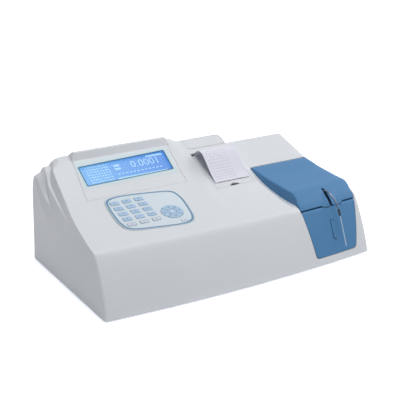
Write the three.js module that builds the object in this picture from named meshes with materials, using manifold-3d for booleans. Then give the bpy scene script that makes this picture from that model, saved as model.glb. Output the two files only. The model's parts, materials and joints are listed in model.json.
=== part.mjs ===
// A benchtop chemistry analyzer: a sloping white casing with a stepped left flank, a tilted
// display, a sealed keypad, a strip printer, a blue sample lid with a sampling tube in front of it,
// and the optics, pump, boards and rear panel that it needs inside.
// Millimetres, X to the right, Y to the back, Z up, the origin under the middle of its box.
import * as THREE from 'three';
import { mergeVertices } from 'three/addons/utils/BufferGeometryUtils.js';
import Module from 'manifold-3d';

const wasm = await Module();
wasm.setup();

// Driving dimensions of the whole instrument
const width = 420;
const depth = 236;
const frontBow = 10.2;
const wall = 2.5;
const gap = 0.3;
const overrun = 40;
const halfWidth = width / 2;
const rearY = depth / 2;
const frontY = frontBow - rearY;
const degree = Math.PI / 180;

// Casing: a shell that is open underneath
const casing = {
  bottom: 1.8,
  sideDraftShare: 0.035,
  faceTopY: -79,
  faceTopZ: 71.6,
  faceBendY: -96.9,
  faceBendZ: 41.7,
  faceSteps: 6,
  faceLean: 0.6,
  bowFade: 60,
  deckStartY: -66,
  creaseZ: 81,
  keypadSlope: 0.265,
  displaySlope: 0.58,
  bendY: 38.3,
  bendReach: 12,
  crestY: 103,
  crestReach: 7,
  rearTopY: 109,
  rearFall: 15,
  podiumY: 3,
  podiumZ: 97,
  podiumSlope: 0.427,
  podiumFrontSlope: 0.235,
  podiumReach: 10,
  lowDeckZ: 79.4,
  lowDeckY: -50,
  lowDeckBendY: 35,
  lowDeckSlope: 0.42,
  hingeDeckY: 44.8,
  hingeDeckZ: 102,
  rearDeckSlope: 0.325,
  lowRearFall: 5,
  shelfZ: 74,
  shelfEndY: 40,
  cornerSetBack: 5,
};
const deckYShares = [
  -0.229, -0.178, -0.127, -0.076, -0.025, 0.013, 0.059, 0.106, 0.14, 0.157,
  0.161, 0.169, 0.19, 0.229, 0.28, 0.331, 0.381, 0.411, 0.43, 0.462,
];
const rearCornerShares = [[0.6, 0.2], [0.9, 0.5], [1, 1]];

// Left flank: two narrow ledges that fan out towards the rear. Heights are falls below the deck.
const flank = {
  reach: 18.5,
  fall: 29,
  shoulder: 13,
};
const flankYShares = [
  -0.28, -0.229, -0.127, -0.025, 0.059, 0.106, 0.144, 0.186, 0.229, 0.28, 0.331, 0.381, 0.43, 0.5,
];
const sideFallShares = [0.1, 0.15, 0.2, 0.22, 0.26, 0.32, 0.4, 0.49, 0.59, 0.7, 0.84, 0.95, 1, 1];
const outerLedgeRiseShares = [0, 0, 0, 0, 0, 0, 0, 0.02, 0.03, 0.07, 0.13, 0.2, 0.29, 0.29];
const outerLedgeXShares = [0.03, 0.03, 0.03, 0.03, 0.03, 0.03, 0.04, 0.05, 0.08, 0.17, 0.28, 0.39, 0.5, 0.5];
const innerWallFallShares = [0.06, 0.09, 0.1, 0.12, 0.17, 0.19, 0.2, 0.21, 0.26, 0.34, 0.43, 0.5, 0.5, 0.5];
const innerWallXShares = [0.06, 0.07, 0.1, 0.15, 0.24, 0.27, 0.3, 0.33, 0.36, 0.41, 0.46, 0.5, 0.54, 0.54];
const innerLedgeRiseShares = [0, 0, 0, 0, 0.01, 0.01, 0.01, 0.02, 0.02, 0.03, 0.04, 0.06, 0.13, 0.13];
const innerLedgeXShares = [0.08, 0.09, 0.13, 0.2, 0.28, 0.34, 0.4, 0.46, 0.53, 0.64, 0.76, 0.87, 0.94, 0.94];
const deckEdgeXShares = [0.13, 0.15, 0.22, 0.33, 0.46, 0.55, 0.64, 0.72, 0.78, 0.85, 0.9, 0.94, 0.99, 1];
const shoulderFallShares = [0, 0, 0, 0, 0, 0, 0, 0, 0, 0, 0, 0.12, 0.75, 1];

// Places along X where the deck changes its height, as shares of half the width
const acrossShares = {
  humpEnd: 0,
  podiumStart: 0.0952,
  podiumEnd: 0.4143,
  lowDeckStart: 0.4905,
  lidRecess: 0.4995,
  lidRecessFront: 0.4814,
};
const across = {
  flareStartY: -50,
  flareEndY: -72,
  wallInset: 2.6,
  wallInsetFront: 4.4,
  stepRun: 0.3,
};

// Sample lid with its slit and hinge
const lid = {
  thick: 2.6,
  skirtZ: 74.6,
  rearY: 37,
  sideGap: 0.4,
  rightInset: 0.6,
  rightInsetFront: 4.9,
  barrelY: 41.2,
  barrelDrop: 3.4,
  barrelRadius: 3.2,
  barrelOver: 0.4,
  overhangRadius: 4.8,
  pinRadius: 1.2,
  pinSeat: 1.6,
  slitOffset: 0.1,
  slitTopY: -59.5,
  slitHalf: 2.6,
  scoopLeftReach: 13.6,
  scoopRightReach: 18.4,
  scoopRun: 3,
  scoopZ: 71.9,
  steps: 16,
  cornerSteps: 4,
};
// The lid's line from the front face's top to the barrel, and the right wall's line from the deck's
// start to the hinge deck, each as shares of its way and of the rise to the hinge deck
const lidYShares = [0, 0.031, 0.066, 0.117, 0.1625, 0.2055, 0.2605, 0.357, 0.51, 0.7455, 0.9085, 1];
const lidZShares = [0, 0.165, 0.32, 0.48, 0.61, 0.675, 0.725, 0.735, 0.78, 0.86, 0.96, 1];
const wallYShares = [0, 0.108, 0.217, 0.434, 0.623, 0.8215, 0.93, 0.9385, 1];
const wallZShares = [0.358, 0.504, 0.54, 0.555, 0.605, 0.69, 0.745, 0.985, 1];

// Blue front panel under the lid, in the front face
const panel = {
  leftOver: 0.5,
  rightInset: 7.9,
  leftLean: 9.8,
  rightLean: 14.3,
  top: 78,
  bottom: 11,
  corner: 7,
  lipY: -72,
  cornerSteps: 4,
};

// Start paddle in the front panel
const paddle = {
  offset: 5.8,
  z: 44,
  width: 7,
  length: 27,
  proud: 0.8,
  deep: 9,
  tilt: 24,
  steps: 6,
  flangeWidth: 11,
  flangeLength: 31,
  flangeThick: 1.2,
  curveRoom: 0.7,
};

// Sampling tube, sleeve and needle. Their middle lines are chosen by hand, with X from the flow cell.
const sipper = {
  radius: 1.6,
  sleeveRadius: 2.4,
  needleRadius: 0.75,
  sides: 10,
  steps: 26,
  sleeveSteps: 4,
  needleGapShare: 0.01,
};
const tubeRoute = [
  [0, -36, 81], [0, -46, 82.5], [0, -56, 85.4], [0, -64, 88.6], [0.1, -72, 90.2],
  [0.3, -80, 87.6], [1.3, -86.5, 82.6], [2.3, -91.6, 77.2], [2.9, -94.6, 71.8],
];
const sleeveRoute = [[2.95, -94.9, 71.2], [3.3, -96.6, 66.6], [3.5, -98.4, 61.6]];
const needleEnd = [3.9, -114.6, 22];

// Display plate with its brow, window and display module
const displayShares = {
  topLeft: -0.7405,
  topRight: -0.031,
  bottomLeft: -0.7857,
  bottomRight: -0.0571,
  centre: -0.4024,
};
const display = {
  topY: 95.6,
  bottomY: 29,
  centreY: 70.6,
  windowMargin: 5,
  windowDepth: 43,
  windowThick: 1.6,
  windowSunk: 0.4,
  moduleOver: 3.5,
  moduleThick: 8.5,
};
const brow = {
  leftOver: 2.5,
  rightOver: 4.5,
  topInset: 6,
  frontY: 97,
  frontLean: 1.6,
  rise: 9.335,
  edge: 1,
  rearRise: 9,
  rearY: 113,
};

// Keypad: an overlay in a shallow pocket, with keys that stand through it
const keypad = {
  xShare: -0.4524,
  centreY: -17,
  proud: 0.3,
  pocket: 1,
  rim: 1.6,
  halfWidth: 55,
  halfDepth: 46,
};
// The overlay's outline, each point as shares of its half width and half depth
const keypadOutlineShares = [
  [-0.88, 0.86], [-0.57, 0.99], [-0.06, 0.95], [0.44, 0.86], [0.83, 0.76], [0.97, 0.58], [1, 0.2],
  [0.95, -0.25], [0.87, -0.68], [0.76, -0.9], [0.53, -0.99], [0.11, -0.94], [-0.35, -0.85],
  [-0.71, -0.77], [-0.92, -0.62], [-1, -0.34], [-1, 0.04], [-0.97, 0.46],
];
const key = {
  width: 12.6,
  depth: 8.4,
  flangeThick: 0.8,
  flangeOver: 0.5,
  proud: 0.9,
  corner: 1.6,
  columnX: -39.5,
  columnPitch: 18,
  rowY: 29.4,
  rowPitch: 12.8,
  columns: 3,
  clearance: 0.3,
  cornerSteps: 2,
  functionDepth: 7,
  functionY: -21.8,
  smallX: 31.5,
  smallY: -36.5,
  smallWidth: 12,
  smallDepth: 6.4,
};
const pad = {
  x: 24.4,
  y: -13.4,
  outer: 15,
  inner: 6.2,
  split: 1,
  steps: 7,
};

// Printer behind the keypad's right side
const printer = {
  xShare: 0.2524,
  doorWidth: 64,
  doorFrontY: 3,
  doorRearY: 70.5,
  notchRadius: 7,
  notchDepth: 2.6,
  notchOffset: 4,
  hingeY: 68,
  hingeDrop: 2.4,
  barrelRadius: 2,
  barrelLength: 3,
  pinRadius: 0.9,
  pinReach: 1.8,
  bossWidth: 4,
  bossDepth: 9,
  bossHeight: 7,
  slotRearY: 76.2,
  coverOffset: 2,
  coverWidth: 63,
  coverFrontY: 85,
  coverRearY: 107,
  coverCorner: 5,
  bayWall: 2.2,
  bayBottom: 62,
  bayFrontY: -1,
  bayRearY: 82,
  rollerRadius: 5,
  rollerLength: 58,
  rollerY: 67.5,
  rollerDrop: 11,
  shaftRadius: 1.6,
  rollRadius: 19,
  rollWidth: 57,
  rollBore: 6.4,
  rollY: 40,
  rollSegments: 32,
  headWidth: 58,
  headDepth: 5,
  headHeight: 14,
};
const paper = {
  width: 57,
  thick: 0.5,
  steps: 14,
};
// The strip's side profile, from the slot over its arch to its cut end
const paperLine = [
  [71.15, 124], [71.1, 127.2], [69.1, 131], [63.8, 134.8], [57.5, 136.6], [50.5, 135.2], [43, 129.6],
  [35, 121.6], [27, 113.2], [19.5, 106.6], [12.5, 102.2],
];

// Base, feet and rear panel
const tray = {
  thick: 2,
  lift: 0.6,
  rearInset: 4.6,
  vents: 7,
  ventPitch: 8,
  ventWidth: 3,
  ventLength: 26,
  ventY: -78,
};
const foot = {
  radius: 9,
  insetX: 24,
  insetY: 22,
  frontY: -82,
  stem: 3,
  segments: 24,
};
const rear = {
  sideInset: 45,
  bottom: 12,
  top: 96,
  overlap: 5,
  thick: 1.6,
  screwInset: 7,
  rodSegments: 16,
};
const inlet = {
  xShare: -0.6095,
  z: 34,
  width: 27.5,
  height: 20,
  deep: 22,
  flangeWidth: 50,
  flangeHeight: 23,
  flangeThick: 2.4,
  mouthWidth: 24,
  mouthHeight: 16.4,
  mouthDeep: 15,
  pinWidth: 2,
  pinHeight: 4,
  pinPitch: 7,
  pinReach: 8.5,
};
const rocker = {
  xShare: -0.381,
  z: 34,
  width: 10,
  height: 16,
  frameWidth: 16,
  frameHeight: 22,
  frameThick: 1.4,
  bodyWidth: 13,
  bodyHeight: 19,
  deep: 14,
  wellDeep: 7,
  pivotDeep: 3.2,
  tilt: 6,
  edgeHalf: 7.3,
  edgeOut: 3.6,
  edgeIn: 0.6,
  dishOut: 2.2,
  footHalf: 2.4,
  footIn: 3.4,
};
const vent = {
  xShare: 0.4381,
  z: 52,
  slotWidth: 3.2,
  slotPitch: 6.6,
  slots: 9,
  radius: 31,
};

// Boards and power supply, on the base
const board = {
  xShare: -0.2762,
  y: -26,
  width: 150,
  depth: 96,
  thick: 1.6,
  legHeight: 8,
  leg: 3,
  legInset: 5,
  chip: 15,
  chipThick: 3,
  relayHeight: 14,
  connectorWidth: 46,
  connectorHeight: 9,
};
const supply = {
  xShare: -0.619,
  y: 58,
  width: 96,
  depth: 62,
  height: 40,
  vent: 3,
  ventPitch: 8,
  vents: 9,
  ventDeep: 3,
};

// Optical bench under the lid: the beam runs along X
const bench = {
  leftOver: 4,
  rightOver: 26,
  frontY: -60,
  rearY: 26,
  thick: 5,
  beamY: -20,
  beamZ: 54,
  beamRadius: 4,
  wallThick: 4,
  motorWallShare: 0.5143,
  wheelWallShare: 0.6524,
  lampWallShare: 0.8286,
  wallHalf: 22,
  wallTop: 66,
};
const cell = {
  xShare: 0.7452,
  width: 24,
  halfY: 12,
  top: 84,
  hole: 3,
  cap: 7,
  capHeight: 3,
  portRadius: 2.6,
};
const lampHousing = {
  width: 24,
  half: 18,
  bottom: 30,
  top: 69,
  bore: 11,
  boreDeep: 20,
  fins: 5,
  finDeep: 3,
  finWidth: 3,
};
const wheel = {
  fromWall: 9,
  thick: 4,
  radius: 23.5,
  filterRadius: 4.6,
  filters: 8,
  filterTrack: 18,
  hub: 5,
  hubLength: 7,
  shaft: 2.5,
  segments: 40,
};
const motor = {
  size: 36,
  length: 24,
  boss: 9,
  bossLength: 2,
};
const detector = {
  wheelRoom: 3.7,
  half: 8,
};

// Pump behind the bench, its rotor on an axis along Y
const pump = {
  sideInset: 38,
  y: 70,
  z: 38,
  half: 25,
  deep: 18,
  cavity: 21,
  cavityDeep: 14,
  rotorCore: 9,
  rollerRadius: 4,
  rollerTrack: 12,
  rollers: 3,
  rotorLength: 11,
  shaft: 2,
  segments: 32,
};
const screw = {
  head: 3.2,
  headThick: 1.8,
  shank: 1.5,
  length: 5,
  slot: 0.9,
  segments: 14,
};

// Colours and finishes
function finish(color, roughness, metalness) {
  return new THREE.MeshStandardMaterial({ color, roughness, metalness });
}
const finishes = {
  white: finish(0xdfe1e8, 0.45, 0),
  blue: finish(0x6b97c6, 0.4, 0),
  darkPlastic: finish(0x2a2c30, 0.6, 0),
  rubber: finish(0x1d1d1f, 0.9, 0),
  steel: finish(0xb8bcc2, 0.3, 1),
  aluminium: finish(0xc3c7cc, 0.45, 1),
  glass: finish(0xbfd8ea, 0.08, 0),
  screen: finish(0x4fa6f2, 0.3, 0),
  board: finish(0x1f6b45, 0.55, 0),
  overlay: finish(0xe8f0f6, 0.5, 0),
  keyBlue: finish(0xa4c8e4, 0.5, 0),
  paper: finish(0xf4f5f8, 0.9, 0),
  amber: finish(0xe6d7b8, 0.4, 0),
};

// Turns a closed geometry into a solid that can be cut and joined.
function solid(geometry) {
  const bare = geometry.clone();
  bare.deleteAttribute('normal');
  bare.deleteAttribute('uv');
  const merged = mergeVertices(bare);
  return new wasm.Manifold(new wasm.Mesh({
    numProp: 3,
    vertProperties: new Float32Array(merged.attributes.position.array),
    triVerts: new Uint32Array(merged.index.array),
  }));
}

function geometryOf(shape) {
  const mesh = shape.getMesh();
  const geometry = new THREE.BufferGeometry();
  geometry.setAttribute('position', new THREE.BufferAttribute(new Float32Array(mesh.vertProperties), 3));
  geometry.setIndex(new THREE.BufferAttribute(new Uint32Array(mesh.triVerts), 1));
  geometry.computeVertexNormals();
  return geometry;
}

const analyzer = new THREE.Group();

function addMesh(name, geometry, material) {
  const mesh = new THREE.Mesh(geometry, material);
  mesh.name = name;
  analyzer.add(mesh);
}

function addSolid(name, shape, material) {
  addMesh(name, geometryOf(shape), material);
}

function joined(shapes) {
  return shapes.reduce((sum, shape) => sum.add(shape));
}

function cut(shape, tools) {
  return tools.reduce((rest, tool) => rest.subtract(tool), shape);
}

// Value of a broken line through (places, values) at one place.
function along(places, values, place) {
  const last = places.length - 1;
  if (place <= places[0]) return values[0];
  if (place >= places[last]) return values[last];
  const i = places.findIndex((p) => p > place);
  const share = (place - places[i - 1]) / (places[i] - places[i - 1]);
  return values[i - 1] + share * (values[i] - values[i - 1]);
}

function smooth(share) {
  const t = Math.min(1, Math.max(0, share));
  return t * t * (3 - 2 * t);
}

// Two straight slopes joined by a parabola that reaches the same way to both sides.
function softBend(y, bendY, bendZ, slopeBefore, slopeAfter, reach) {
  const from = y - bendY;
  if (from < -reach) return bendZ + slopeBefore * from;
  if (from > reach) return bendZ + slopeAfter * from;
  const turn = (slopeAfter - slopeBefore) / (4 * reach);
  return bendZ + (slopeBefore + slopeAfter) / 2 * from + turn * (from * from + reach * reach);
}

// Deck heights along Y, for each stretch of the casing
function keypadPlaneZ(y) {
  return casing.creaseZ + casing.keypadSlope * (y - casing.deckStartY);
}

const bendZ = keypadPlaneZ(casing.bendY);

function humpSlopeZ(y) {
  return softBend(y, casing.bendY, bendZ, casing.keypadSlope, casing.displaySlope, casing.bendReach);
}

function humpZ(y) {
  const crestZ = humpSlopeZ(casing.crestY);
  if (y < casing.crestY - casing.crestReach) return humpSlopeZ(y);
  return softBend(y, casing.crestY, crestZ, casing.displaySlope, 0, casing.crestReach);
}

function podiumZ(y) {
  const before = casing.podiumFrontSlope;
  const slopeZ = (at) => softBend(
    at, casing.podiumY, casing.podiumZ, before, casing.podiumSlope, casing.podiumReach,
  );
  if (y < casing.crestY - casing.crestReach) return slopeZ(y);
  return softBend(y, casing.crestY, slopeZ(casing.crestY), casing.podiumSlope, 0, casing.crestReach);
}

function lowDeckZ(y) {
  const run = Math.max(0, Math.min(y, casing.lowDeckBendY) - casing.lowDeckY);
  const curve = casing.lowDeckSlope * run * run / 2 / (casing.lowDeckBendY - casing.lowDeckY);
  const bentZ = casing.lowDeckZ + curve;
  if (y <= casing.lowDeckBendY) return bentZ;
  if (y >= casing.hingeDeckY) return casing.hingeDeckZ + casing.rearDeckSlope * (y - casing.hingeDeckY);
  const share = (y - casing.lowDeckBendY) / (casing.hingeDeckY - casing.lowDeckBendY);
  return bentZ + share * (casing.hingeDeckZ - bentZ);
}

function shelfZ(y) {
  if (y <= casing.shelfEndY) return casing.shelfZ;
  if (y >= casing.hingeDeckY) return lowDeckZ(y);
  const share = (y - casing.shelfEndY) / (casing.hingeDeckY - casing.shelfEndY);
  return casing.shelfZ + share * (casing.hingeDeckZ - casing.shelfZ);
}

const height = humpZ(brow.frontY) + brow.rise;

// Places at shares of the way from one value to another
function spread(shares, from, to) {
  return shares.map((share) => from + share * (to - from));
}

const wallYs = spread(wallYShares, casing.deckStartY, casing.hingeDeckY);
const wallZs = spread(wallZShares, casing.faceTopZ, casing.hingeDeckZ);

function rightWallZ(y) {
  return y < casing.hingeDeckY ? along(wallYs, wallZs, y) : lowDeckZ(y);
}

const lidYs = spread(lidYShares, casing.faceTopY, lid.barrelY);
const lidZs = spread(lidZShares, casing.faceTopZ, casing.hingeDeckZ);

const flankYs = flankYShares.map((share) => share * depth);
const onFlank = (shares, size, y) => size * along(flankYs, shares, y);

// How far the front stands forward at x, fading out over the deck
function bowAt(x, y) {
  const share = x / halfWidth;
  const fade = Math.min(1, Math.max(0, -y / casing.bowFade));
  return frontBow * (1 - share * share) * fade;
}

function sideX(z) {
  return halfWidth - casing.sideDraftShare * z;
}

// Half way point curve between three points: the front face and the crease above it
function bentPoints(start, bend, end, steps) {
  const curve = new THREE.QuadraticBezierCurve(start, bend, end);
  return curve.getPoints(steps);
}

const faceStart = new THREE.Vector2(frontY, 0);
const faceBend = new THREE.Vector2(casing.faceBendY, casing.faceBendZ);
const faceEnd = new THREE.Vector2(casing.faceTopY, casing.faceTopZ);
const facePoints = bentPoints(faceStart, faceBend, faceEnd, casing.faceSteps);
const creaseSteps = 3;

// Side profile of the casing from the front edge over the deck to the rear edge
const hingeSample = deckYShares.findIndex((share) => share * depth >= casing.hingeDeckY);
const hingePoint = casing.faceSteps + creaseSteps + hingeSample + 1;

function profile(deckZ, rearFall) {
  const points = facePoints.slice(0, -1).map((p) => [p.x, Math.max(p.y, casing.bottom)]);
  const startZ = deckZ(casing.deckStartY);
  const cornerZ = startZ - casing.faceLean;
  const cornerY = casing.faceTopY + casing.faceLean * (cornerZ - casing.faceTopZ);
  const corner = new THREE.Vector2(cornerY, cornerZ);
  const deckStart = new THREE.Vector2(casing.deckStartY, startZ);
  bentPoints(faceEnd, corner, deckStart, creaseSteps).forEach((p) => points.push([p.x, p.y]));
  deckYShares.forEach((share) => points.push([share * depth, deckZ(share * depth)]));
  const rearRun = rearY - casing.rearTopY;
  const topZ = deckZ(casing.rearTopY);
  rearCornerShares.forEach(([run, fall]) => {
    points.push([casing.rearTopY + run * rearRun, topZ - fall * rearFall]);
  });
  points.push([rearY, casing.bottom]);
  return points;
}

// Moves a side profile inwards by one distance, and its two lower ends to a lower level.
function insetProfile(points, distance, lowZ) {
  const moved = points.map((point, i) => {
    const before = points[Math.max(0, i - 1)];
    const after = points[Math.min(points.length - 1, i + 1)];
    const run = Math.hypot(after[0] - before[0], after[1] - before[1]);
    const normalY = (after[1] - before[1]) / run;
    const normalZ = -(after[0] - before[0]) / run;
    return [point[0] + normalY * distance, point[1] + normalZ * distance];
  });
  moved[0][1] = lowZ;
  moved[moved.length - 1][1] = lowZ;
  return moved;
}

// Skins a row of sections that have as many points each, and closes both ends with a fan. The
// fan's middle lies half way between the section's high point and its lower edge.
function loft(sections, highPoint) {
  const count = sections[0].length;
  const points = sections.flat();
  const index = [];
  for (let s = 0; s < sections.length - 1; s += 1) {
    for (let i = 0; i < count; i += 1) {
      const j = (i + 1) % count;
      const near = s * count;
      const far = near + count;
      index.push(near + i, near + j, far + j, near + i, far + j, far + i);
    }
  }
  const addCap = (section, base, flip) => {
    const high = section[highPoint];
    const first = section[0];
    const last = section[count - 1];
    const foot = first.clone().lerp(last, (high.y - first.y) / (last.y - first.y));
    const middle = points.push(high.clone().lerp(foot, 0.5)) - 1;
    for (let i = 0; i < count; i += 1) {
      const j = (i + 1) % count;
      index.push(...(flip ? [middle, base + j, base + i] : [middle, base + i, base + j]));
    }
  };
  addCap(sections[0], 0, true);
  addCap(sections[sections.length - 1], (sections.length - 1) * count, false);
  const geometry = new THREE.BufferGeometry().setFromPoints(points);
  geometry.setIndex(index);
  return facingOut(geometry);
}

function facingOut(geometry) {
  const p = geometry.attributes.position;
  const index = geometry.index.array;
  const corner = (i) => new THREE.Vector3().fromBufferAttribute(p, index[i]);
  let volume = 0;
  for (let i = 0; i < index.length; i += 3) {
    volume += corner(i).dot(corner(i + 1).cross(corner(i + 2)));
  }
  if (volume < 0) {
    for (let i = 0; i < index.length; i += 3) {
      [index[i + 1], index[i + 2]] = [index[i + 2], index[i + 1]];
    }
  }
  return geometry;
}

// Places along X that follow the width
const atX = (share) => share * halfWidth;
const places = {
  humpEnd: atX(acrossShares.humpEnd),
  podiumStart: atX(acrossShares.podiumStart),
  podiumEnd: atX(acrossShares.podiumEnd),
  lowDeckStart: atX(acrossShares.lowDeckStart),
  keypad: atX(keypad.xShare),
  display: atX(displayShares.centre),
  displayTopLeft: atX(displayShares.topLeft),
  displayTopRight: atX(displayShares.topRight),
  displayBottomLeft: atX(displayShares.bottomLeft),
  displayBottomRight: atX(displayShares.bottomRight),
  printer: atX(printer.xShare),
  cell: atX(cell.xShare),
  slit: atX(cell.xShare) + lid.slitOffset,
  motorWall: atX(bench.motorWallShare),
  wheelWall: atX(bench.wheelWallShare),
  lampWall: atX(bench.lampWallShare),
  inlet: atX(inlet.xShare),
  rocker: atX(rocker.xShare),
  vent: atX(vent.xShare),
  board: atX(board.xShare),
  supply: atX(supply.xShare),
  pump: halfWidth - pump.sideInset,
};
const fromCell = ([x, y, z]) => [places.cell + x, y, z];
const tubeLine = tubeRoute.map(fromCell);
const sleeveLine = sleeveRoute.map(fromCell);
const needleTip = fromCell(needleEnd);
const barrelZ = casing.hingeDeckZ - lid.barrelDrop;
const wallFaceX = sideX(casing.hingeDeckZ) - across.wallInset - across.stepRun;
const barrelRight = wallFaceX + lid.barrelOver;
const benchLeft = places.motorWall - bench.leftOver;
const benchRight = places.lampWall + bench.rightOver;
const benchMiddle = (benchLeft + benchRight) / 2;
const scoopLeft = places.slit - lid.scoopLeftReach;
const scoopRight = places.slit + lid.scoopRightReach;

// Sections of the casing from left to right. A station gives its height profile, its place along X
// for a point of that profile, and how far its place moves for the inner face.
function flare(y) {
  return smooth((across.flareStartY - y) / (across.flareStartY - across.flareEndY));
}

function lidLeftX(y) {
  return atX(acrossShares.lidRecess) + atX(acrossShares.lidRecessFront - acrossShares.lidRecess) * flare(y);
}

function wallInsetAt(y) {
  return across.wallInset + (across.wallInsetFront - across.wallInset) * flare(y);
}

function sideTopZ(y) {
  return humpZ(y) - onFlank(sideFallShares, flank.fall, y);
}

function innerWallZ(y) {
  return humpZ(y) - onFlank(innerWallFallShares, flank.fall, y);
}

const flankStations = [
  {
    deckZ: sideTopZ,
    x: (y, z) => -sideX(z),
  },
  {
    deckZ: (y) => sideTopZ(y) + onFlank(outerLedgeRiseShares, flank.fall, y),
    x: (y, z) => onFlank(outerLedgeXShares, flank.reach, y) - sideX(z),
  },
  {
    deckZ: innerWallZ,
    x: (y, z) => onFlank(innerWallXShares, flank.reach, y) - sideX(z),
  },
  {
    deckZ: (y) => innerWallZ(y) + onFlank(innerLedgeRiseShares, flank.fall, y),
    x: (y, z) => onFlank(innerLedgeXShares, flank.reach, y) - sideX(z),
  },
  {
    deckZ: (y) => humpZ(y) - onFlank(shoulderFallShares, flank.shoulder, y),
    x: (y, z) => onFlank(deckEdgeXShares, flank.reach, y) - sideX(z),
  },
].map((station) => ({ ...station, fall: casing.rearFall, inner: 1 }));

const shoulderXShares = [0.45, 0.9, 1.6];
const shoulderLeftShares = [0.5, 0.16, 0];
const shoulderStations = shoulderXShares.map((run, i) => ({
  deckZ: (y) => humpZ(y) - shoulderLeftShares[i] * onFlank(shoulderFallShares, flank.shoulder, y),
  x: (y, z) => onFlank(deckEdgeXShares, flank.reach, y) - sideX(z) + run * flank.reach,
  fall: casing.rearFall,
  inner: 1,
}));

function flatStation(x, deckZ, fall = casing.rearFall, inner = 0) {
  return { deckZ, x: () => x, fall, inner };
}

function mixStations(fromX, toX, fromZ, toZ, fromFall, toFall) {
  const mixShares = [0, 0.3, 0.7, 1];
  return mixShares.map((share) => {
    const part = smooth(share);
    const deckZ = (y) => fromZ(y) + part * (toZ(y) - fromZ(y));
    return flatStation(fromX + share * (toX - fromX), deckZ, fromFall + part * (toFall - fromFall));
  });
}

const humpXShares = [-0.29, -0.19, -0.1];
const shelfXShares = [0.3, 0.37, 0.43];
const shelfStart = {
  deckZ: shelfZ,
  x: (y) => lidLeftX(y),
  fall: casing.lowRearFall,
  inner: -1,
};
const lowDeckEnd = {
  deckZ: lowDeckZ,
  x: (y) => lidLeftX(y) - across.stepRun,
  fall: casing.lowRearFall,
  inner: -1,
};
const shelfEnd = {
  deckZ: shelfZ,
  x: (y, z) => sideX(Math.max(z, casing.hingeDeckZ)) - wallInsetAt(y) - across.stepRun,
  fall: casing.lowRearFall,
  inner: 0,
  facesLid: true,
};
const cornerInsetShares = [1, 0.5, 0.22, 0];
const cornerBackShares = [0, 0.12, 0.4, 1];
const wallStations = cornerInsetShares.map((inset, i) => ({
  deckZ: rightWallZ,
  x: (y, z) => sideX(z) - inset * wallInsetAt(y),
  fall: casing.lowRearFall,
  back: cornerBackShares[i] * casing.cornerSetBack,
  facesLid: i === 0,
}));

const stations = [
  ...flankStations,
  ...shoulderStations,
  ...humpXShares.map((share) => flatStation(share * width, humpZ)),
  ...mixStations(places.humpEnd, places.podiumStart, humpZ, podiumZ, casing.rearFall, casing.rearFall),
  ...mixStations(
    places.podiumEnd, places.lowDeckStart - wall, podiumZ, lowDeckZ, casing.rearFall, casing.lowRearFall,
  ),
  lowDeckEnd,
  shelfStart,
  ...shelfXShares.map((share) => flatStation(share * width, shelfZ, casing.lowRearFall)),
];
const outerStations = [...stations, shelfEnd, ...wallStations];

function sectionOf(station, grow) {
  const points = profile(station.deckZ, station.fall);
  const moved = grow === 0 ? points : insetProfile(points, -grow, casing.bottom);
  return moved.map(([y, z]) => {
    const x = station.x(y, z) - (station.facesLid ? grow : 0);
    const back = y < 0 ? (station.back ?? 0) : 0;
    return new THREE.Vector3(x, y - bowAt(x, y) + back, z);
  });
}

// A face inside the outer one, at one distance from it
function innerSectionOf(station, distance) {
  const points = insetProfile(profile(station.deckZ, station.fall), distance, -overrun);
  return points.map(([y, z]) => {
    const x = station.x(y, z) + station.inner * distance;
    return new THREE.Vector3(x, y - bowAt(x, y), z);
  });
}

const innerEnd = {
  deckZ: shelfZ,
  x: (y, z) => sideX(z),
  fall: casing.lowRearFall,
  inner: -1,
};

const casingOuter = solid(loft(outerStations.map((station) => sectionOf(station, 0)), hingePoint));
const casingGrown = solid(loft(outerStations.map((station) => sectionOf(station, gap)), hingePoint));
const shell = casingOuter.subtract(casingInset(wall));
const insideCasing = casingInset(wall + gap);

// Solid that follows the inside of the casing at a distance from its outer face
function casingInset(distance) {
  return solid(loft([...stations, innerEnd].map((station) => innerSectionOf(station, distance)), hingePoint));
}

// Simple solids placed by their middle or their lower face
function block(x, y, z, sizeX, sizeY, sizeZ) {
  return solid(new THREE.BoxGeometry(sizeX, sizeY, sizeZ).translate(x, y, z));
}

function standingBlock(x, y, bottom, sizeX, sizeY, sizeZ) {
  return block(x, y, bottom + sizeZ / 2, sizeX, sizeY, sizeZ);
}

function rodX(fromX, toX, y, z, radius, segments) {
  const rod = new THREE.CylinderGeometry(radius, radius, toX - fromX, segments);
  return solid(rod.rotateZ(Math.PI / 2).translate((fromX + toX) / 2, y, z));
}

function rodY(fromY, toY, x, z, radius, segments) {
  const rod = new THREE.CylinderGeometry(radius, radius, toY - fromY, segments);
  return solid(rod.translate(x, (fromY + toY) / 2, z));
}

function rodZ(fromZ, toZ, x, y, radius, segments) {
  const rod = new THREE.CylinderGeometry(radius, radius, toZ - fromZ, segments);
  return solid(rod.rotateX(Math.PI / 2).translate(x, y, (fromZ + toZ) / 2));
}

// A plate whose outline lies in the XY plane and that reaches from one height to another
function plate(outline, fromZ, toZ) {
  const shape = new THREE.Shape(outline.map(([x, y]) => new THREE.Vector2(x, y)));
  const geometry = new THREE.ExtrudeGeometry(shape, { depth: toZ - fromZ, bevelEnabled: false });
  return geometry.translate(0, 0, fromZ);
}

// The same with the outline in the XZ plane, reaching along Y
function uprightPlate(outline, fromY, toY) {
  const geometry = plate(outline.map(([x, z]) => [x, z]), 0, toY - fromY);
  return geometry.rotateX(Math.PI / 2).translate(0, toY, 0);
}

// The same with the outline in the YZ plane, reaching along X
function sidePlate(outline, fromX, toX) {
  const geometry = plate(outline, 0, toX - fromX);
  return geometry.rotateZ(Math.PI / 2).rotateY(Math.PI / 2).translate(fromX, 0, 0);
}

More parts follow.
